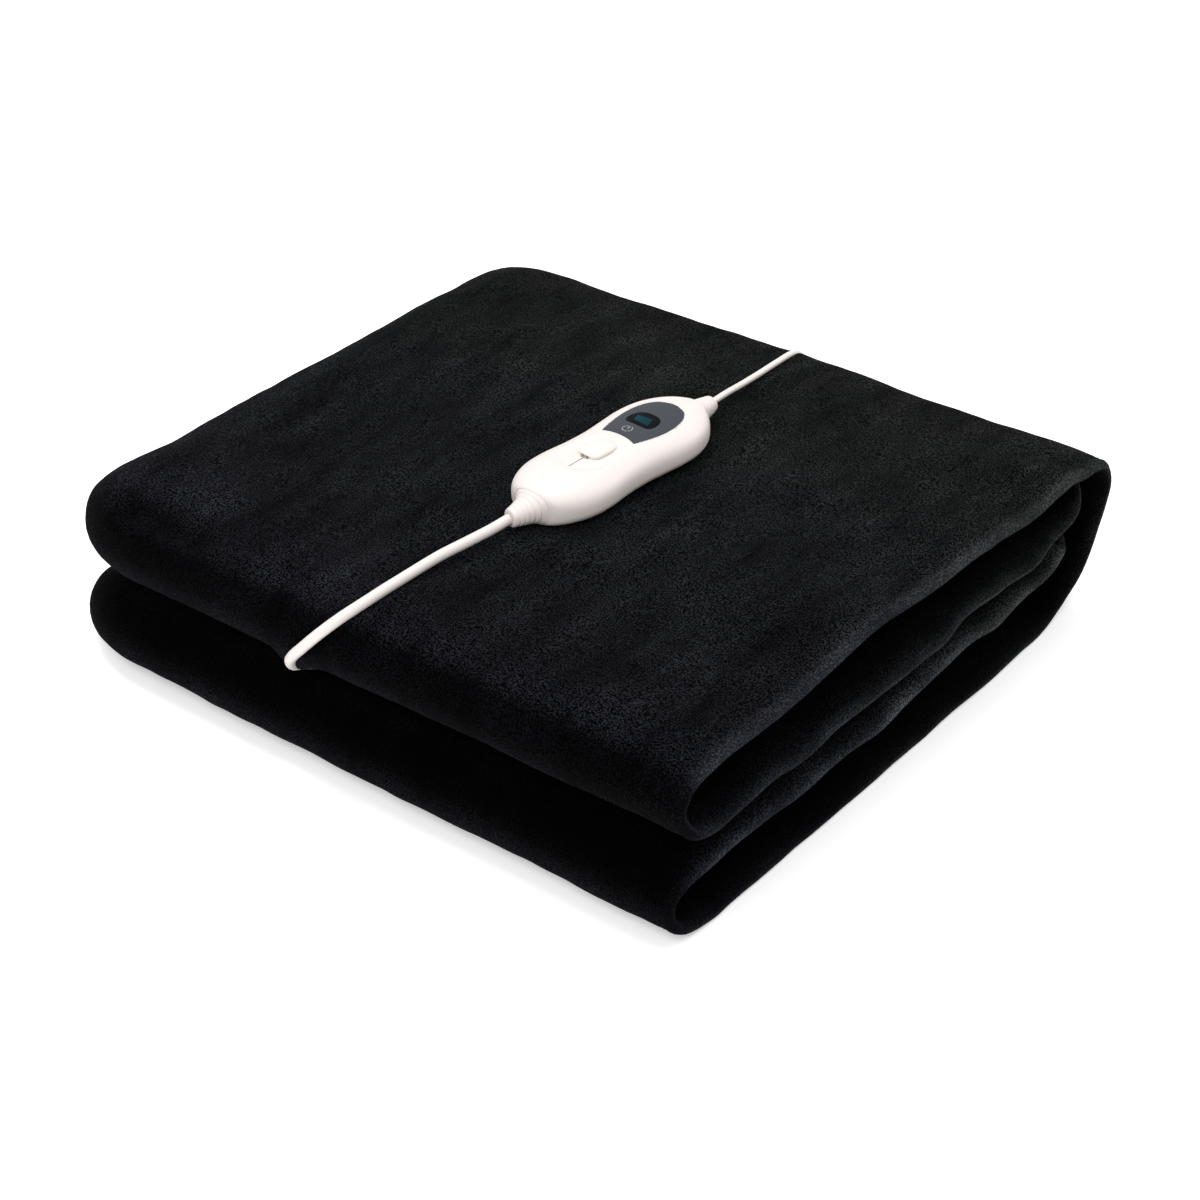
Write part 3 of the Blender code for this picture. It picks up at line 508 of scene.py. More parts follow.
BLANKET_LEAD = 5.4
BLANKET_LEAD_ROUTE = (
    (15.7, -74.7, 103.3),
    (15.2, -78.5, 102.9),
    (14.0, -85.6, 102.1),
    (12.5, -92.4, 101.4),
    (10.8, -99.0, 100.6),
    (9.1, -105.8, 99.9),
    (7.4, -113.2, 99.2),
    (6.2, -121.5, 98.5),
    (5.1, -131.5, 97.6),
    (4.3, -142.0, 97.0),
    (3.9, -150.5, 96.7),
    (3.5, -158.5, 96.2),
    (2.5, -166.0, 95.2),
    (0.5, -173.4, 93.2),
    (-2.9, -180.2, 89.4),
    (-8.4, -184.7, 83.2),
    (-15.4, -186.1, 75.3),
    (-22.0, -185.7, 68.1),
    (-27.2, -183.4, 61.6),
    (-30.8, -178.4, 54.8),
    (-33.0, -170.1, 50.0),
    (-34.2, -160.4, 47.6),
    (-34.8, -149.8, 47.0),
)


def lead_curve(name, points, diameter):
    """A round lead that follows points in mm."""
    curve = bpy.data.curves.new(name, "CURVE")
    curve.dimensions = "3D"
    curve.bevel_depth = diameter / 2 * MM
    curve.bevel_resolution = 5
    curve.use_fill_caps = True
    spline = curve.splines.new("POLY")
    spline.points.add(len(points) - 1)
    spline.points.foreach_set("co", np.column_stack([np.array(points) * MM, np.ones(len(points))]).ravel())
    spline.use_smooth = True
    return new_object(name, curve)


def grain(made, scale, detail, strength, distance):
    """Makes a material's skin a little uneven, by a noise over the object's own coordinates."""
    texture = add(made, "TexNoise", {"Vector": coordinates(made), "Scale": scale, "Detail": detail})
    bump(made, texture.outputs["Fac"], strength, distance)


# Extruded soft PVC, milky white and satin, a little uneven from being wound warm.
flex = material("white_soft_pvc_flex", "#dcd5d1", 0.42, Subsurface_Weight=0.08,
                Subsurface_Radius=(0.004, 0.003, 0.002))
grain(flex, 90.0, 2.0, 0.12, 0.001)

blanket_line = smooth_through(BLANKET_LEAD_ROUTE, 6, 3)
blanket_lead = lead_curve("blanket_lead_flex", blanket_line, BLANKET_LEAD)
finish_piece(blanket_lead, flex, None, "throw", "lead", "blanket_lead")

# ----------------------------------------------------------------------
# The housing: two moulded halves in warm white satin ABS that close on a fine joint line all round.
# Each half is a grid wrapped over the outline and closed by a wall; the cover has an oval pocket for
# the switch, the switch's slot, and a recess for the display panel.

HANDSET_AT, HANDSET_TURN, PARTING_Z = (21.2, 4.0), math.radians(-2.9), 104.0
HANDSET_OUTLINE = (
    # along, half_width, rise, drop
    (-64.4, 11.4, 8.8, 8.0),
    (-63.1, 14.2, 9.6, 8.4),
    (-59.5, 18.2, 10.5, 8.9),
    (-53.1, 22.0, 11.5, 9.2),
    (-44.2, 24.7, 12.2, 9.4),
    (-32.4, 25.1, 12.4, 9.4),
    (-17.7, 23.5, 12.4, 9.4),
    (-3, 23.2, 12.4, 9.4),
    (10.6, 24.5, 12.4, 9.4),
    (22.9, 25.5, 12.4, 9.4),
    (35.3, 24.2, 12.2, 9.4),
    (45, 20.3, 11.4, 9.2),
    (51.6, 15.5, 10.2, 8.7),
    (56, 11.0, 8.7, 8.0),
    (57.8, 8.7, 7.9, 7.5),
)
SHELL_FULLNESS, SHELL_CROWDING, JOINT_GAP = 2.6, 1.25, 0.08
POCKET_MIDDLE, POCKET_HALF_LONG, POCKET_HALF_WIDE = -24.5, 18.2, 15.0
POCKET_DEPTH, POCKET_EDGE, POCKET_OVAL = 1.25, 4.5, 2.2
OUTLINE = smooth_through(HANDSET_OUTLINE, 8, 1)


def outline_at(along, column):
    """The half width (1), rise (2) or drop (3) of the housing at a place along it."""
    return np.interp(along, OUTLINE[:, 0], OUTLINE[:, column])


def cover_height(across, along):
    """Height of the cover's surface over the parting plane, without its pocket."""
    inside = 1 - np.clip(np.abs(across) / outline_at(along, 1), 0, 1) ** SHELL_FULLNESS
    return JOINT_GAP / 2 + (outline_at(along, 2) - JOINT_GAP / 2) * inside ** (1 / SHELL_FULLNESS)


def pocket(across, along):
    """How deep the switch's pocket is at a place, with its rounded edge."""
    reach_along = np.abs(along - POCKET_MIDDLE) / POCKET_HALF_LONG
    reach_across = np.abs(across) / POCKET_HALF_WIDE
    reach = (reach_along**POCKET_OVAL + reach_across**POCKET_OVAL) ** (1 / POCKET_OVAL)
    return POCKET_DEPTH * eased(ramp((1 - reach) * POCKET_HALF_WIDE, 0, POCKET_EDGE))


def grid_piece(name, lengthwise, crosswise, shape):
    """A grid whose vertices are placed by a function of their place across (-1 to 1) and along (-1 to 1)."""
    bpy.ops.mesh.primitive_grid_add(x_subdivisions=crosswise, y_subdivisions=lengthwise, size=2)
    obj = bpy.context.object
    obj.name = obj.data.name = name
    flat = np.empty(len(obj.data.vertices) * 3)
    obj.data.vertices.foreach_get("co", flat)
    flat = flat.reshape(-1, 3)
    placed = np.stack(shape(flat[:, 0], flat[:, 1]), axis=-1)
    obj.data.vertices.foreach_set("co", (placed * MM).ravel())
    return obj


def on_handset(obj):
    """Moves a mesh made about the middle of the handset to where the handset lies."""
    obj.rotation_euler.z = HANDSET_TURN
    obj.location = (HANDSET_AT[0] * MM, HANDSET_AT[1] * MM, PARTING_Z * MM)
    pick(obj)
    bpy.ops.object.transform_apply(location=True, rotation=True, scale=True)


def apply_modifier(obj, kind, **settings):
    """Adds a modifier to an object and applies it."""
    modifier = obj.modifiers.new(kind.lower(), kind)
    for name, value in settings.items():
        setattr(modifier, name, value)
    pick(obj)
    bpy.ops.object.modifier_apply(modifier=modifier.name)


def close_rim(obj):
    """Closes an open shell with one face over each open edge, and turns all its faces outwards."""
    pick(obj)
    bpy.ops.object.mode_set(mode="EDIT")
    bpy.ops.mesh.select_all(action="DESELECT")
    bpy.ops.mesh.select_non_manifold()
    bpy.ops.mesh.edge_face_add()
    bpy.ops.mesh.select_all(action="SELECT")
    bpy.ops.mesh.normals_make_consistent(inside=False)
    bpy.ops.object.mode_set(mode="OBJECT")


def crowded(along, crowding):
    """Places from -1 to 1 drawn towards both ends, where the shape curves most."""
    return np.sign(along) * (1 - (1 - np.abs(along)) ** crowding)


def superellipse(turn, squareness):
    """Sine and cosine of a turn on a circle (2) or on a squarer round."""
    sine, cosine = np.sin(turn), np.cos(turn)
    power = 2 / squareness
    return np.sign(sine) * np.abs(sine) ** power, np.sign(cosine) * np.abs(cosine) ** power


def half_shell(facing):
    """The outer surface of the cover (1) or of the base (-1)."""
    front, back = HANDSET_OUTLINE[0][0], HANDSET_OUTLINE[-1][0]

    def shape(across, along):
        place = front + (back - front) * (crowded(along, SHELL_CROWDING) + 1) / 2
        rise, side = superellipse(math.pi / 2 * (1 - across), SHELL_FULLNESS)
        x = side * outline_at(place, 1)
        z = rise * (outline_at(place, 2 if facing > 0 else 3) - JOINT_GAP / 2)
        if facing > 0:
            z = z - pocket(x, place)
        return x, place, facing * (JOINT_GAP / 2 + z)
    return shape


cover = grid_piece("handset_cover_shell", 200, 100, half_shell(1))
base = grid_piece("handset_base_shell", 120, 56, half_shell(-1))
for obj in (cover, base):
    close_rim(obj)
    on_handset(obj)

# Injection-moulded ABS with a fine satin skin: warm white, with soft reflections that a faint
# waviness of the skin blurs.
abs_white = material("warm_white_satin_abs", "#dcd3cf", 0.42, IOR=1.53, Specular_IOR_Level=0.35,
                     Subsurface_Weight=0.06, Subsurface_Radius=(0.004, 0.003, 0.003))
grain(abs_white, 60.0, 2.0, 0.05, 0.001)

# The recess for the panel and the slot of the switch are cut into the cover. The slot is wider
# where the switch's catch drops in.
PANEL_OUTLINE = (
    # along, half_width
    (-1.7, 10.8),
    (8.3, 13.7),
    (18.3, 15.3),
    (28.3, 14.6),
    (35.3, 11.9),
    (39.9, 7.6),
    (42.0, 2.2),
)
PANEL_HOLLOW = 1.7  # how far the panel's front edge curves in
SLOT_OUTLINE, CATCH_OUTLINE = ((-37.9, 0.35), (-12.0, 0.35)), ((-27.2, 2.4), (-24.4, 2.4))


def over_outline(outline, grown, hollow, height, middle=0):
    """Places a grid over an outline, grown by so much, at a height over the place."""
    rows = smooth_through(outline, 6, 1)

    def shape(across, along):
        t = (along + 1) / 2
        start, end = rows[0, 0] - grown, rows[-1, 0] + grown
        y = start + (end - start) * t
        x = across * (np.interp(y, rows[:, 0], rows[:, 1]) + grown)
        y = y + hollow * (1 - np.clip(x / rows[0, 1], -1, 1) ** 2) * (1 - t) ** 3
        return x + middle, y, height(x + middle, y)
    return shape


def plate(name, outline, grown, hollow, top, thickness, steps, middle=0):
    """A plate over an outline whose top follows the cover at a height over it."""
    def height(x, y):
        return cover_height(x, y) + top

    obj = grid_piece(name, *steps, over_outline(outline, grown, hollow, height, middle))
    apply_modifier(obj, "SOLIDIFY", thickness=thickness * MM, offset=-1)
    on_handset(obj)
    return obj


def cut_out(obj, cutter):
    """Cuts one object out of another and removes it."""
    apply_modifier(obj, "BOOLEAN", operation="DIFFERENCE", solver="EXACT", object=cutter)
    bpy.data.objects.remove(cutter, do_unlink=True)


cut_out(cover, plate("recess", PANEL_OUTLINE, 0.1, PANEL_HOLLOW, 3.0, 4.0, (60, 30)))
cut_out(cover, plate("slot", SLOT_OUTLINE, 0, 0, 3.0, 7.0, (40, 2)))
cut_out(cover, plate("catch_hole", CATCH_OUTLINE, 0, 0, 3.0, 7.0, (6, 8)))
finish_piece(cover, abs_white, 40, "throw", "housing", "handset_cover")
finish_piece(base, abs_white, 40, "throw", "housing", "handset_base")

# ----------------------------------------------------------------------
# The display panel: a slate grey printed polycarbonate overlay laid flush in the cover's recess,
# with a printed power mark, and a dark glossy window over the small liquid crystal display.

WINDOW_OUTLINE = (
    # along, half_width
    (12.9, 6.4),
    (13.9, 7.8),
    (16.5, 8.8),
    (19.3, 8.8),
    (21.6, 8.2),
    (23.6, 7.0),
    (25.0, 5.2),
    (25.8, 3.0),
    (26.0, 1.4),
)
WINDOW_MIDDLE = -0.8
PANEL_TOP, PANEL_THICKNESS, WINDOW_TOP = 0.0, 0.7, 0.05

# Polycarbonate film printed slate on its back and matted on its face, so it shines softly.
slate = material("slate_printed_polycarbonate", "#2f343b", 0.42, IOR=1.58, Specular_IOR_Level=0.3)
grain(slate, 2600.0, 1.0, 0.12, 0.0002)
# Smoked acrylic, nearly black and bright polished.
smoked = material("smoked_acrylic_window", "#04060b", 0.12, IOR=1.49, Specular_IOR_Level=0.06)
grain(smoked, 120.0, 1.0, 0.03, 0.001)
# An unlit liquid crystal cell behind the window, teal, a little darker towards the handset's right side.
teal = material("teal_liquid_crystal", "#083038", 0.3, Specular_IOR_Level=0.05)
place_in_cell = add(teal, "SeparateXYZ", {"Vector": coordinates(teal)})
shade = add(teal, "MapRange", {"Value": place_in_cell.outputs["X"], "From Min": 0.0135, "From Max": 0.0265})
feed(teal, "Base Color", blend(teal, shade.outputs["Result"], linear("#0b3b43"), linear("#052830")))
# Pale screen-printing ink, thin enough to let a little of the slate through.
ink = material("pale_grey_screen_print", "#8f979f", 0.5)
cover_of_ink = add(ink, "TexNoise", {"Vector": coordinates(ink), "Scale": 2400.0, "Detail": 1.0})
feed(ink, "Base Color", blend(ink, cover_of_ink.outputs["Fac"], linear("#868d95"), linear("#cfd4d9")))


def bevel(obj, width, segments):
    """Rounds an object's sharp edges."""
    apply_modifier(obj, "BEVEL", width=width * MM, segments=segments, limit_method="ANGLE",
                   angle_limit=math.radians(50))


panel = plate("display_panel_overlay", PANEL_OUTLINE, -0.1, PANEL_HOLLOW, PANEL_TOP, PANEL_THICKNESS,
              (72, 40))
cut_out(panel, plate("window_hole", WINDOW_OUTLINE, 0.1, 0, 2.0, 4.0, (48, 24), WINDOW_MIDDLE))
bevel(panel, 0.1, 2)
window = plate("display_window_lens", WINDOW_OUTLINE, -0.08, 0, WINDOW_TOP, PANEL_THICKNESS, (48, 32),
               WINDOW_MIDDLE)
bevel(window, 0.2, 3)

LCD_THICKNESS, LCD_OVER_WINDOW = 0.1, 0.06
LCD_CORNERS = ((-6.6, 20.8), (-5.0, 16.2), (4.4, 15.4), (2.6, 22.0))


def lcd_shape(across, along):
    """The four-cornered display."""
    a, b, c, d = (np.array(corner)[:, None] for corner in LCD_CORNERS)
    u, v = (across + 1) / 2, (along + 1) / 2
    x, y = (1 - v) * (b * (1 - u) + c * u) + v * (a * (1 - u) + d * u)
    return x, y, cover_height(x, y) + WINDOW_TOP + LCD_OVER_WINDOW


lcd = grid_piece("display_lcd", 16, 20, lcd_shape)
apply_modifier(lcd, "SOLIDIFY", thickness=LCD_THICKNESS * MM, offset=-1)
on_handset(lcd)

# The power mark: a bar at the top of a ring of dashes, one of which it takes the place of.
RING_AT, RING_RADIUS, RING_LINE, RING_DASHES, DASH_SHARE = (-1.4, 7.0), 2.6, 0.36, 9, 0.72
BAR_MIDDLE, BAR_HALF_LENGTH, INK_OVER_PANEL, INK_THICKNESS = 1.3, 1.2, 0.03, 0.05


def dash_shape(turn):
    """One dash of the ring."""
    def shape(across, along):
        radius = RING_RADIUS + across * RING_LINE / 2
        angle = turn + along * math.pi / RING_DASHES * DASH_SHARE
        x, y = RING_AT[0] + radius * np.cos(angle), RING_AT[1] + radius * np.sin(angle)
        return x, y, cover_height(x, y) + INK_OVER_PANEL
    return shape


def bar_shape(across, along):
    """The bar, from near the middle of the ring to its top."""
    x, y = RING_AT[0] + across * RING_LINE / 2, RING_AT[1] + BAR_MIDDLE + along * BAR_HALF_LENGTH
    return x, y, cover_height(x, y) + INK_OVER_PANEL


mark = grid_piece("power_mark", 6, 2, bar_shape)
dash_turns = [math.pi / 2 + 2 * math.pi * i / RING_DASHES for i in range(1, RING_DASHES)]
dashes = [grid_piece("dash", 8, 2, dash_shape(turn)) for turn in dash_turns]
pick(mark)
for dash in dashes:
    dash.select_set(True)
bpy.ops.object.join()
apply_modifier(mark, "SOLIDIFY", thickness=INK_THICKNESS * MM, offset=-1)
on_handset(mark)
finish_piece(panel, slate, 40, "throw", "panel", "display_panel")
finish_piece(mark, ink, 40, "throw", "panel")
finish_piece(window, smoked, 40, "throw", "window", "display_window")
finish_piece(lcd, teal, 40, "throw", "window")

# ----------------------------------------------------------------------
# The slide switch: a low, nearly square ABS pad that sets the heat, with three raised cross ridges
# for the thumb. It runs along the slot in its pocket, so it rides on its own body.

SWITCH_OUTLINE = (
    # along, half_width, height, as parts of the switch's height
    (-9.4, 3.2, 0.45),
    (-8.7, 5.2, 0.72),
    (-6.8, 6.6, 0.9),
    (-3.2, 7.1, 1.0),
    (0, 7.2, 1.0),
    (3.2, 7.1, 1.0),
    (6.8, 6.6, 0.9),
    (8.7, 5.2, 0.72),
    (9.4, 3.2, 0.45),
)
SWITCH_AT, SWITCH_HEIGHT, SWITCH_FLOOR, SWITCH_FULLNESS, SWITCH_CROWDING = -16.5, 2.2, 11.2, 3.6, 1.5
SWITCH_GAP, SWITCH_THINNEST = 0.12, 0.35
RIDGES, RIDGE_LIFT, RIDGE_WIDTH, RIDGE_HALF_LENGTH = (0.2, 2.8, 5.4), 0.24, 0.75, 5.2


def switch_shape(across, along):
    """The switch's top and its low sides, at rest in its pocket."""
    rows = smooth_through(SWITCH_OUTLINE, 8, 1)
    y = SWITCH_OUTLINE[-1][0] * crowded(along, SWITCH_CROWDING)
    width, part = (np.interp(y, rows[:, 0], rows[:, i]) for i in (1, 2))
    rise, side = superellipse(math.pi / 2 * (1 - across), SWITCH_FULLNESS)
    x = side * width
    # Its end towards the display stands over the pocket's sloping edge and is cut away to clear it.
    under = cover_height(x, SWITCH_AT + y) - pocket(x, SWITCH_AT + y) + SWITCH_GAP
    floor = np.maximum(SWITCH_FLOOR, under)
    z = np.maximum(part * SWITCH_HEIGHT * rise, floor - SWITCH_FLOOR + SWITCH_THINNEST * rise)
    middle = np.clip(1 - (x / RIDGE_HALF_LENGTH) ** 4, 0, 1) * part
    for ridge in RIDGES:
        z = z + middle * RIDGE_LIFT * bell(y - ridge, RIDGE_WIDTH)
    return x, SWITCH_AT + y, SWITCH_FLOOR + z


knob = grid_piece("heat_switch_knob", 96, 76, switch_shape)
close_rim(knob)
on_handset(knob)
finish_piece(knob, abs_white, 50, "switch", "housing", "slide_switch")

# ----------------------------------------------------------------------
# The strain reliefs: soft tapered sleeves, moulded on, that guide each lead out of the housing, with
# fine rings cut round them so that they bend. Each is a grid rolled up, turned the way its lead runs.

FRONT_RELIEF = (
    # along, half_width, rise, drop
    (-0.8, 11.3, 8.7, 7.9),
    (0, 11.3, 8.7, 7.9),
    (0.7, 10.3, 8.3, 7.7),
    (1.7, 9.4, 7.9, 7.4),
    (3.0, 8.6, 7.3, 7.0),
    (4.6, 7.7, 6.7, 6.6),
    (14, 4.7, 4.6, 4.6),
)
BACK_RELIEF = (
    # along, half_width, rise, drop
    (-0.8, 8.6, 7.8, 7.4),
    (0, 8.6, 7.8, 7.4),
    (0.8, 7.9, 7.3, 7.1),
    (2.0, 7.2, 6.7, 6.6),
    (3.4, 6.7, 6.3, 6.2),
    (14.2, 4.5, 4.4, 4.4),
)
RING_DEPTH, RING_WIDTH, FIRST_RING, TIP_ROUND, COLLAR, SQUARE_REACH = 0.42, 0.3, 1.9, 0.7, 2.6, 3
MERGE_WITHIN = 0.02


def relief_shape(profile, turns, rings, heading, start):
    """A tapered sleeve with thin rings cut round it and a plain collar at its tip."""
    table = np.array(profile, float)
    begin, length = table[0, 0], table[-1, 0]
    places = np.linspace(FIRST_RING, length - COLLAR, rings)

    def shape(across, along):
        run = begin + (along + 1) / 2 * (length - begin)
        groove = sum(RING_DEPTH * bell(run - place, RING_WIDTH) for place in places)
        lips = TIP_ROUND * (1 - quarter_round(length - run, TIP_ROUND))
        width, rise, drop = (np.interp(run, table[:, 0], table[:, i]) - groove - lips for i in (1, 2, 3))
        squareness = 2 + (SHELL_FULLNESS - 2) * ramp(run, SQUARE_REACH, 0)
        side, up = superellipse(math.pi * across, squareness)
        side, up = side * width, up * np.where(up > 0, rise, drop)
        reach = np.clip(run, 0, None)
        yaw = turns[0] * reach / length
        middle_x = heading * turns[0] * reach**2 / (2 * length)
        middle_z = -turns[1] * reach**2 / (2 * length)
        return middle_x + side * np.cos(yaw), start + heading * run - side * np.sin(yaw), middle_z + up
    return shape


def merge_edges(obj):
    """Merges the edges of a rolled-up grid where they meet, and turns its faces outwards."""
    pick(obj)
    bpy.ops.object.mode_set(mode="EDIT")
    bpy.ops.mesh.select_all(action="SELECT")
    bpy.ops.mesh.remove_doubles(threshold=MERGE_WITHIN * MM)
    bpy.ops.mesh.normals_make_consistent(inside=False)
    bpy.ops.object.mode_set(mode="OBJECT")


def sleeve(name, lengthwise, around, shape):
    """A grid rolled up, with its two long edges merged and its ends closed."""
    obj = grid_piece(name, lengthwise, around, shape)
    merge_edges(obj)
    close_rim(obj)
    return obj


RELIEFS = (
    # end, profile, heading, start, sideways, down, rings, around
    ("front", FRONT_RELIEF, -1, HANDSET_OUTLINE[0][0], 12, 5, 5, 56),
    ("back", BACK_RELIEF, 1, HANDSET_OUTLINE[-1][0], -8, 4, 4, 48),
)
for end, profile, heading, start, sideways, down, rings, around in RELIEFS:
    turns = (math.radians(sideways), math.radians(down))
    relief = sleeve(f"relief_sleeve_{end}", 130, around, relief_shape(profile, turns, rings, heading, start))
    on_handset(relief)
    finish_piece(relief, abs_white, 60, "throw", "housing", f"relief_{end}")

# ----------------------------------------------------------------------
# The mains lead: a thinner round lead from the handset's back end, over the back fold, down to a
# neat coil of its spare length behind the throw, and out of the coil's top to the plug.

MAINS_LEAD = 3.4
MAINS_LEAD_ROUTE = (
    (23.8, 76.5, 103.5),
    (23.3, 80.5, 103.2),
    (22.4, 88.0, 102.4),
    (21.2, 97.0, 101.1),
    (19.9, 107.0, 99.4),
    (18.5, 118.0, 97.8),
    (17.1, 129.0, 96.3),
    (15.7, 140.0, 95.0),
    (14.2, 151.0, 93.5),
    (12.8, 161.0, 92.1),
    (11.6, 169.3, 90.0),  # from here it presses into the back rim
    (11.1, 175.5, 86.7),
    (11.0, 179.4, 82.0),
    (11.2, 182.2, 75.9),  # to here
    (11.6, 185.0, 68.6),
    (12.2, 185.9, 60.0),
    (12.8, 186.8, 50.6),
    (13.4, 188.6, 40.4),
    (13.4, 192.0, 28.6),
    (11.8, 196.8, 16.8),
    (7.2, 201.1, 8.6),
    (-0.6, 203.4, 4.2),
    (-7.0, 203.8, 3.1),
    (-12.2, 203.8, 3.0),
)
PLUG_LEAD_ROUTE = (
    (-45.2, 203.8, 13.2),
    (-51.7, 204.1, 12.6),
    (-59.7, 205.8, 11.2),
    (-67.7, 209.4, 9.4),
    (-75.2, 214.0, 7.9),
    (-81.7, 218.2, 7.1),
    (-87.7, 221.4, 6.9),
    (-93.7, 222.8, 6.85),
    (-100.2, 222.8, 6.85),
    (-112.0, 222.8, 6.85),  # inside the plug
)
COIL_AT, COIL_RADII, COIL_LEVELS = (-28.7, 228.9), (25.1, 21.7, 18.3, 14.9), (3.0, 6.4, 9.8, 13.2)
POINTS_A_TURN = 40


def coil_points():
    """Turns wound row upon row. Each turn steps to the next empty place at its own spot round the coil."""
    slots = []
    for i, level in enumerate(COIL_LEVELS):
        slots += [(radius, level) for radius in (COIL_RADII if i % 2 == 0 else COIL_RADII[::-1])]
    turns = len(slots) - 1
    points = []
    for step in range(turns * POINTS_A_TURN + 1):
        turn = min(step // POINTS_A_TURN, turns - 1)
        part = step / POINTS_A_TURN - turn
        t = eased(np.clip((part - 1) * (turns + 2) + turn + 2, 0, 1))
        radius, level = (1 - t) * np.array(slots[turn]) + t * np.array(slots[turn + 1])
        angle = -math.pi / 2 - 2 * math.pi * step / POINTS_A_TURN
        points.append((COIL_AT[0] + radius * math.cos(angle), COIL_AT[1] + radius * math.sin(angle), level))
    return np.array(points)


mains_line = np.concatenate([
    smooth_through(MAINS_LEAD_ROUTE, 6, 3),
    coil_points(),
    smooth_through(PLUG_LEAD_ROUTE, 5, 3),
])
mains_lead = lead_curve("mains_lead_flex", mains_line, MAINS_LEAD)
finish_piece(mains_lead, flex, None, "throw", "lead", "mains_lead", "lead_coil", "plug_lead")

# ----------------------------------------------------------------------
# The tie: a flat woven nylon band, stitched to itself, that holds the coil's turns together.

TIE_TURN, TIE_WIDTH, TIE_THICKNESS = math.radians(60), 9, 0.96
TIE_HALF, TIE_CORNER, COIL_MIDDLE, COIL_CENTRE_Z = 7.6, 2.4, 20, 8.1


def tie_shape(across, along):
    """A band round the coil's section: a square path with round corners, at one spot round the coil."""
    straight, arc = 2 * (TIE_HALF - TIE_CORNER), math.pi / 2 * TIE_CORNER
    run = (along + 1) / 2 * 4 * (straight + arc)
    side = np.clip(run // (straight + arc), 0, 3)
    rest = run - side * (straight + arc)
    bend = np.clip(rest - straight, 0, arc) / TIE_CORNER
    out = TIE_HALF - TIE_CORNER * (1 - np.cos(bend))
    on = -(TIE_HALF - TIE_CORNER) + np.clip(rest, 0, straight) + TIE_CORNER * np.sin(bend)
    turn = side * math.pi / 2
    radial = out * np.cos(turn) - on * np.sin(turn)
    up = out * np.sin(turn) + on * np.cos(turn)
    spot = TIE_TURN + across * TIE_WIDTH / 2 / COIL_MIDDLE
    radius = COIL_MIDDLE + radial
    return COIL_AT[0] + radius * np.cos(spot), COIL_AT[1] + radius * np.sin(spot), COIL_CENTRE_Z + up


tie = grid_piece("lead_tie_band", 112, 12, tie_shape)
merge_edges(tie)
apply_modifier(tie, "SOLIDIFY", thickness=TIE_THICKNESS * MM, offset=0)
bevel(tie, 0.2, 2)

# Woven nylon tape: a tight rib weave, 0.7 mm from rib to rib, matt, with a dull shine on the ribs.
nylon = material("white_woven_nylon_tape", "#d8d6d2", 0.7)
on_tape = coordinates(nylon, "UV", (13.0, 82.0, 1.0))
ribs = add(nylon, "TexWave", {"Vector": on_tape, "Scale": 1.0}, bands_direction="Y")
threads = add(nylon, "TexWave", {"Vector": on_tape, "Scale": 1.0}, bands_direction="X")
weave = add(nylon, "Math", {0: ribs.outputs["Fac"], 1: threads.outputs["Fac"]}, operation="MULTIPLY")
feed(nylon, "Base Color", blend(nylon, weave.outputs["Value"], linear("#b9b6b0"), linear("#dedcd8")))
bump(nylon, weave.outputs["Value"], strength=0.6, distance=0.0003)
finish_piece(tie, nylon, 50, "throw", "tie", "lead_tie")

# ----------------------------------------------------------------------
# The plug: a flat two-pin plug moulded in white PVC on the end of the lead, with a ringed relief and
# grip ridges on its sides, and two nickelled brass pins that are sleeved as far as half their length.

PLUG_AT = (-100.5, 222.8, 6.85)
PLUG_OUTLINE = (
    # along, half_width, half_height
    (0, 2.9, 2.9),
    (22, 5.0, 4.8),
    (27, 8.6, 6.0),
    (34, 13.4, 6.6),
    (44, 16.8, 6.8),
    (51.2, 17.2, 6.85),
    (52, 16.6, 6.3),
)
PLUG_LENGTH, SQUARE_FROM, SQUARE_BY, PLUG_SQUARER = 52, 22, 34, 1.2
PLUG_RINGS, PLUG_RING_DEPTH, PLUG_RING_WIDTH = (3.5, 7.0, 10.5, 14.0, 17.5), 0.4, 0.45
PLUG_GRIPS, GRIP_DEPTH, GRIP_WIDTH = (36.0, 39.0, 42.0, 45.0), 0.35, 0.7
PIN_LENGTH, PIN_SLEEVE, PIN_SPACING, PIN_RADIUS, PIN_ROUND = 19, 10, 18.6, 2.0, 1.4
SLEEVE_GROOVE, SLEEVE_GROOVE_WIDTH = 0.12, 0.25
PIN_FACE = PLUG_AT[0] - PLUG_LENGTH - 0.3  # a little clear of the plug's face
plug_rows = smooth_through(PLUG_OUTLINE, 6, 1)


def plug_shape(across, along):
    """The plug from its lead end to its face, lying flat, with its face towards -X."""
    run = (along + 1) / 2 * PLUG_LENGTH
    squareness = 2 + PLUG_SQUARER * ramp(run, SQUARE_FROM, SQUARE_BY)
    over, side = superellipse(math.pi * across, squareness)
    cut = sum(PLUG_RING_DEPTH * bell(run - ring, PLUG_RING_WIDTH) for ring in PLUG_RINGS)
    grip = sum(GRIP_DEPTH * bell(run - grip, GRIP_WIDTH) for grip in PLUG_GRIPS) * np.abs(side) ** 6
    width = np.interp(run, plug_rows[:, 0], plug_rows[:, 1]) - cut - grip
    height = np.interp(run, plug_rows[:, 0], plug_rows[:, 2]) - cut
    return PLUG_AT[0] - run, PLUG_AT[1] + width * side, PLUG_AT[2] + height * over


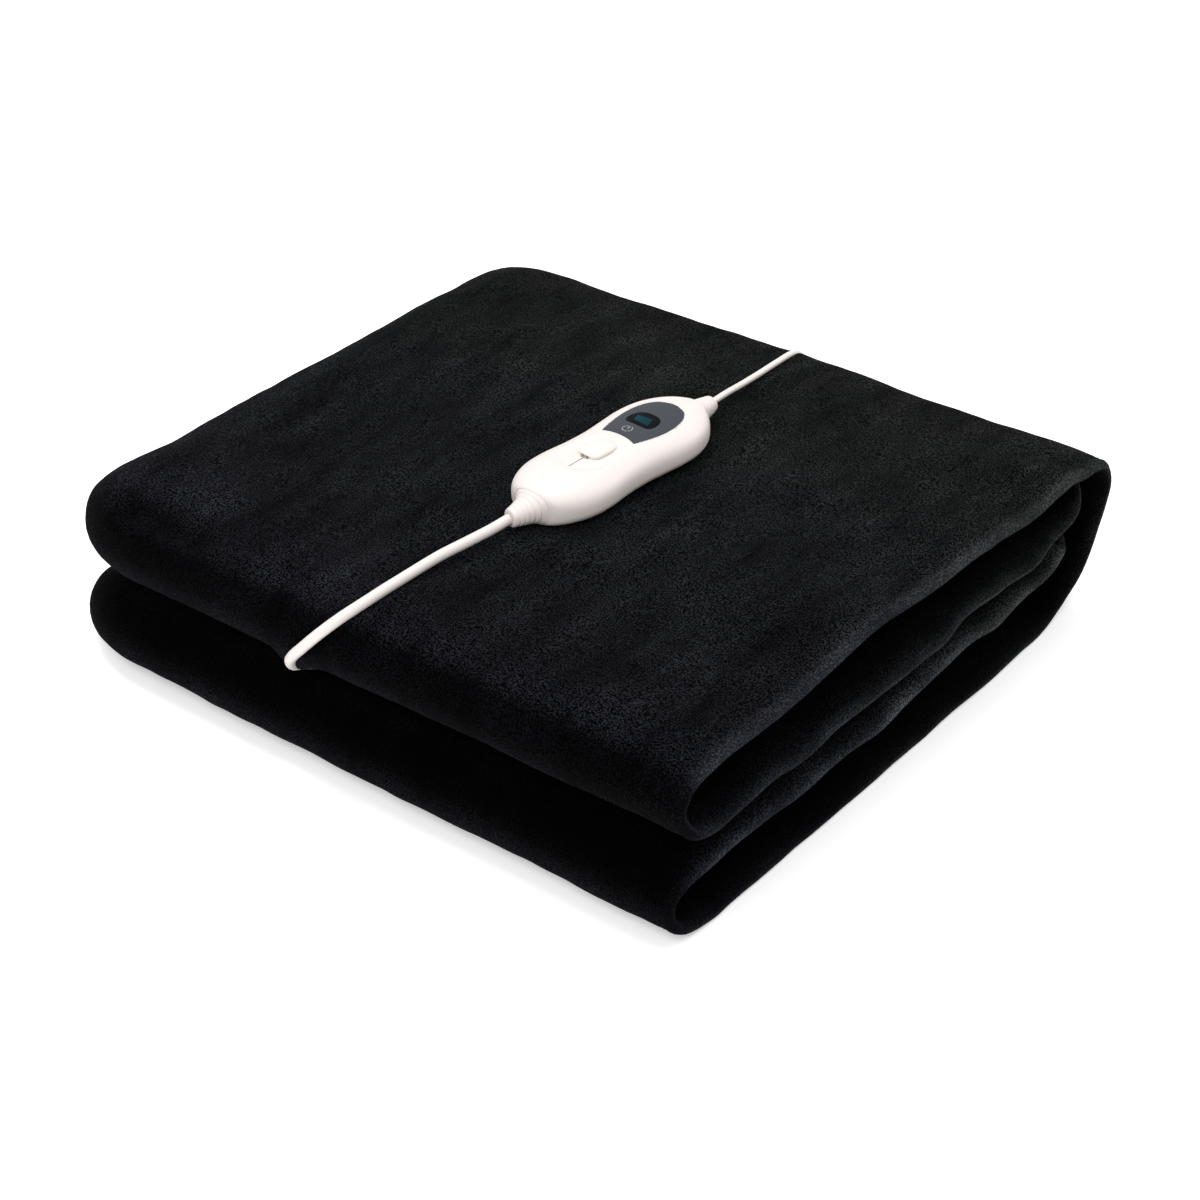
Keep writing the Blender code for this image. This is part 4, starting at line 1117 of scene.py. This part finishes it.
def pin_shape(middle):
    """A round pin with a sleeve as thick as its tip, a fine groove where the sleeve ends, and a round end."""
    def shape(across, along):
        run = (along + 1) / 2 * PIN_LENGTH
        groove = SLEEVE_GROOVE * bell(run - PIN_SLEEVE, SLEEVE_GROOVE_WIDTH)
        radius = PIN_RADIUS - groove - PIN_ROUND * (1 - quarter_round(PIN_LENGTH - run, PIN_ROUND))
        turn = math.pi * across
        return PIN_FACE - run, middle + radius * np.cos(turn), PLUG_AT[2] + radius * np.sin(turn)
    return shape


plug = sleeve("plug_moulding", 150, 64, plug_shape)
finish_piece(plug, flex, 50, "throw", "lead", "plug_body")

# Nickel-plated brass, drawn and tumbled: a bright pale metal with fine marks along it.
nickel = material("nickel_plated_brass", "#c9c6be", 0.28, Metallic=1.0)
along_pin = coordinates(nickel, scale=(120.0, 1600.0, 1600.0))
marks = add(nickel, "TexNoise", {"Vector": along_pin, "Scale": 1.0, "Detail": 2.0})
bump(nickel, marks.outputs["Fac"], strength=0.15, distance=0.0002)
# Nylon sleeve, moulded tight on the pin, grey and matt.
sleeve_grey = material("grey_nylon_pin_sleeve", "#8b8d8f", 0.55)
grain(sleeve_grey, 900.0, 1.0, 0.1, 0.0002)
for i, side in enumerate((-0.5, 0.5)):
    pin = sleeve(f"plug_pin_sleeved_{i + 1}", 76, 24, pin_shape(PLUG_AT[1] + side * PIN_SPACING))
    finish_piece(pin, nickel, 40, "throw", "pin", f"plug_pin_{i + 1}")
    pin.data.materials.append(sleeve_grey)
    for face in pin.data.polygons:
        face.material_index = 1 if face.center.x > (PIN_FACE - PIN_SLEEVE) * MM else 0

# ----------------------------------------------------------------------
# The setting: a pale floor that glows a little, as a light table does, soft light from above on the
# left, from behind and from the front, and the camera.

bpy.ops.mesh.primitive_plane_add(size=8)
floor = bpy.context.object
floor.name = "studio_floor"
paper = material("pale_studio_paper", "#f7f7f7", 0.9, Emission_Color=(1, 1, 1, 1), Emission_Strength=0.3)
floor.data.materials.append(paper)

world = bpy.data.worlds.new("studio")
bpy.context.scene.world = world
world.use_nodes = True
background = world.node_tree.nodes["Background"].inputs
background["Color"].default_value = (1, 1, 1, 1)
background["Strength"].default_value = 0.56


def aim(obj, place, target):
    """Puts a light or the camera at a place, facing a target."""
    obj.location = place
    obj.rotation_euler = (Vector(target) - Vector(place)).to_track_quat("-Z", "Y").to_euler()


LIGHTS = (
    # name, place, target, size, power
    ("key_softbox", (-0.55, 0.2, 1.8), (0, 0, 0.05), 1.1, 21),
    ("back_softbox", (0.7, 1.5, 0.9), (0, 0, 0.05), 0.8, 9),
    ("front_fill", (0.5, -1.4, 1.45), (0, 0, 0.1), 1.1, 21),
)
for name, place, target, size, power in LIGHTS:
    softbox = bpy.data.lights.new(name, "AREA")
    softbox.size = size
    softbox.energy = power
    aim(new_object(name, softbox), place, target)

CAMERA_AT, CAMERA_TARGET = (0.6848, -0.8402, 0.7339), (-0.00358, 0.01902, 0)
lens = bpy.data.cameras.new("camera")
lens.lens, lens.sensor_width, lens.clip_start = 75, 36, 0.05
camera = new_object("camera", lens)
aim(camera, CAMERA_AT, CAMERA_TARGET)
bpy.context.scene.camera = camera
bpy.context.scene.view_settings.view_transform = "Standard"
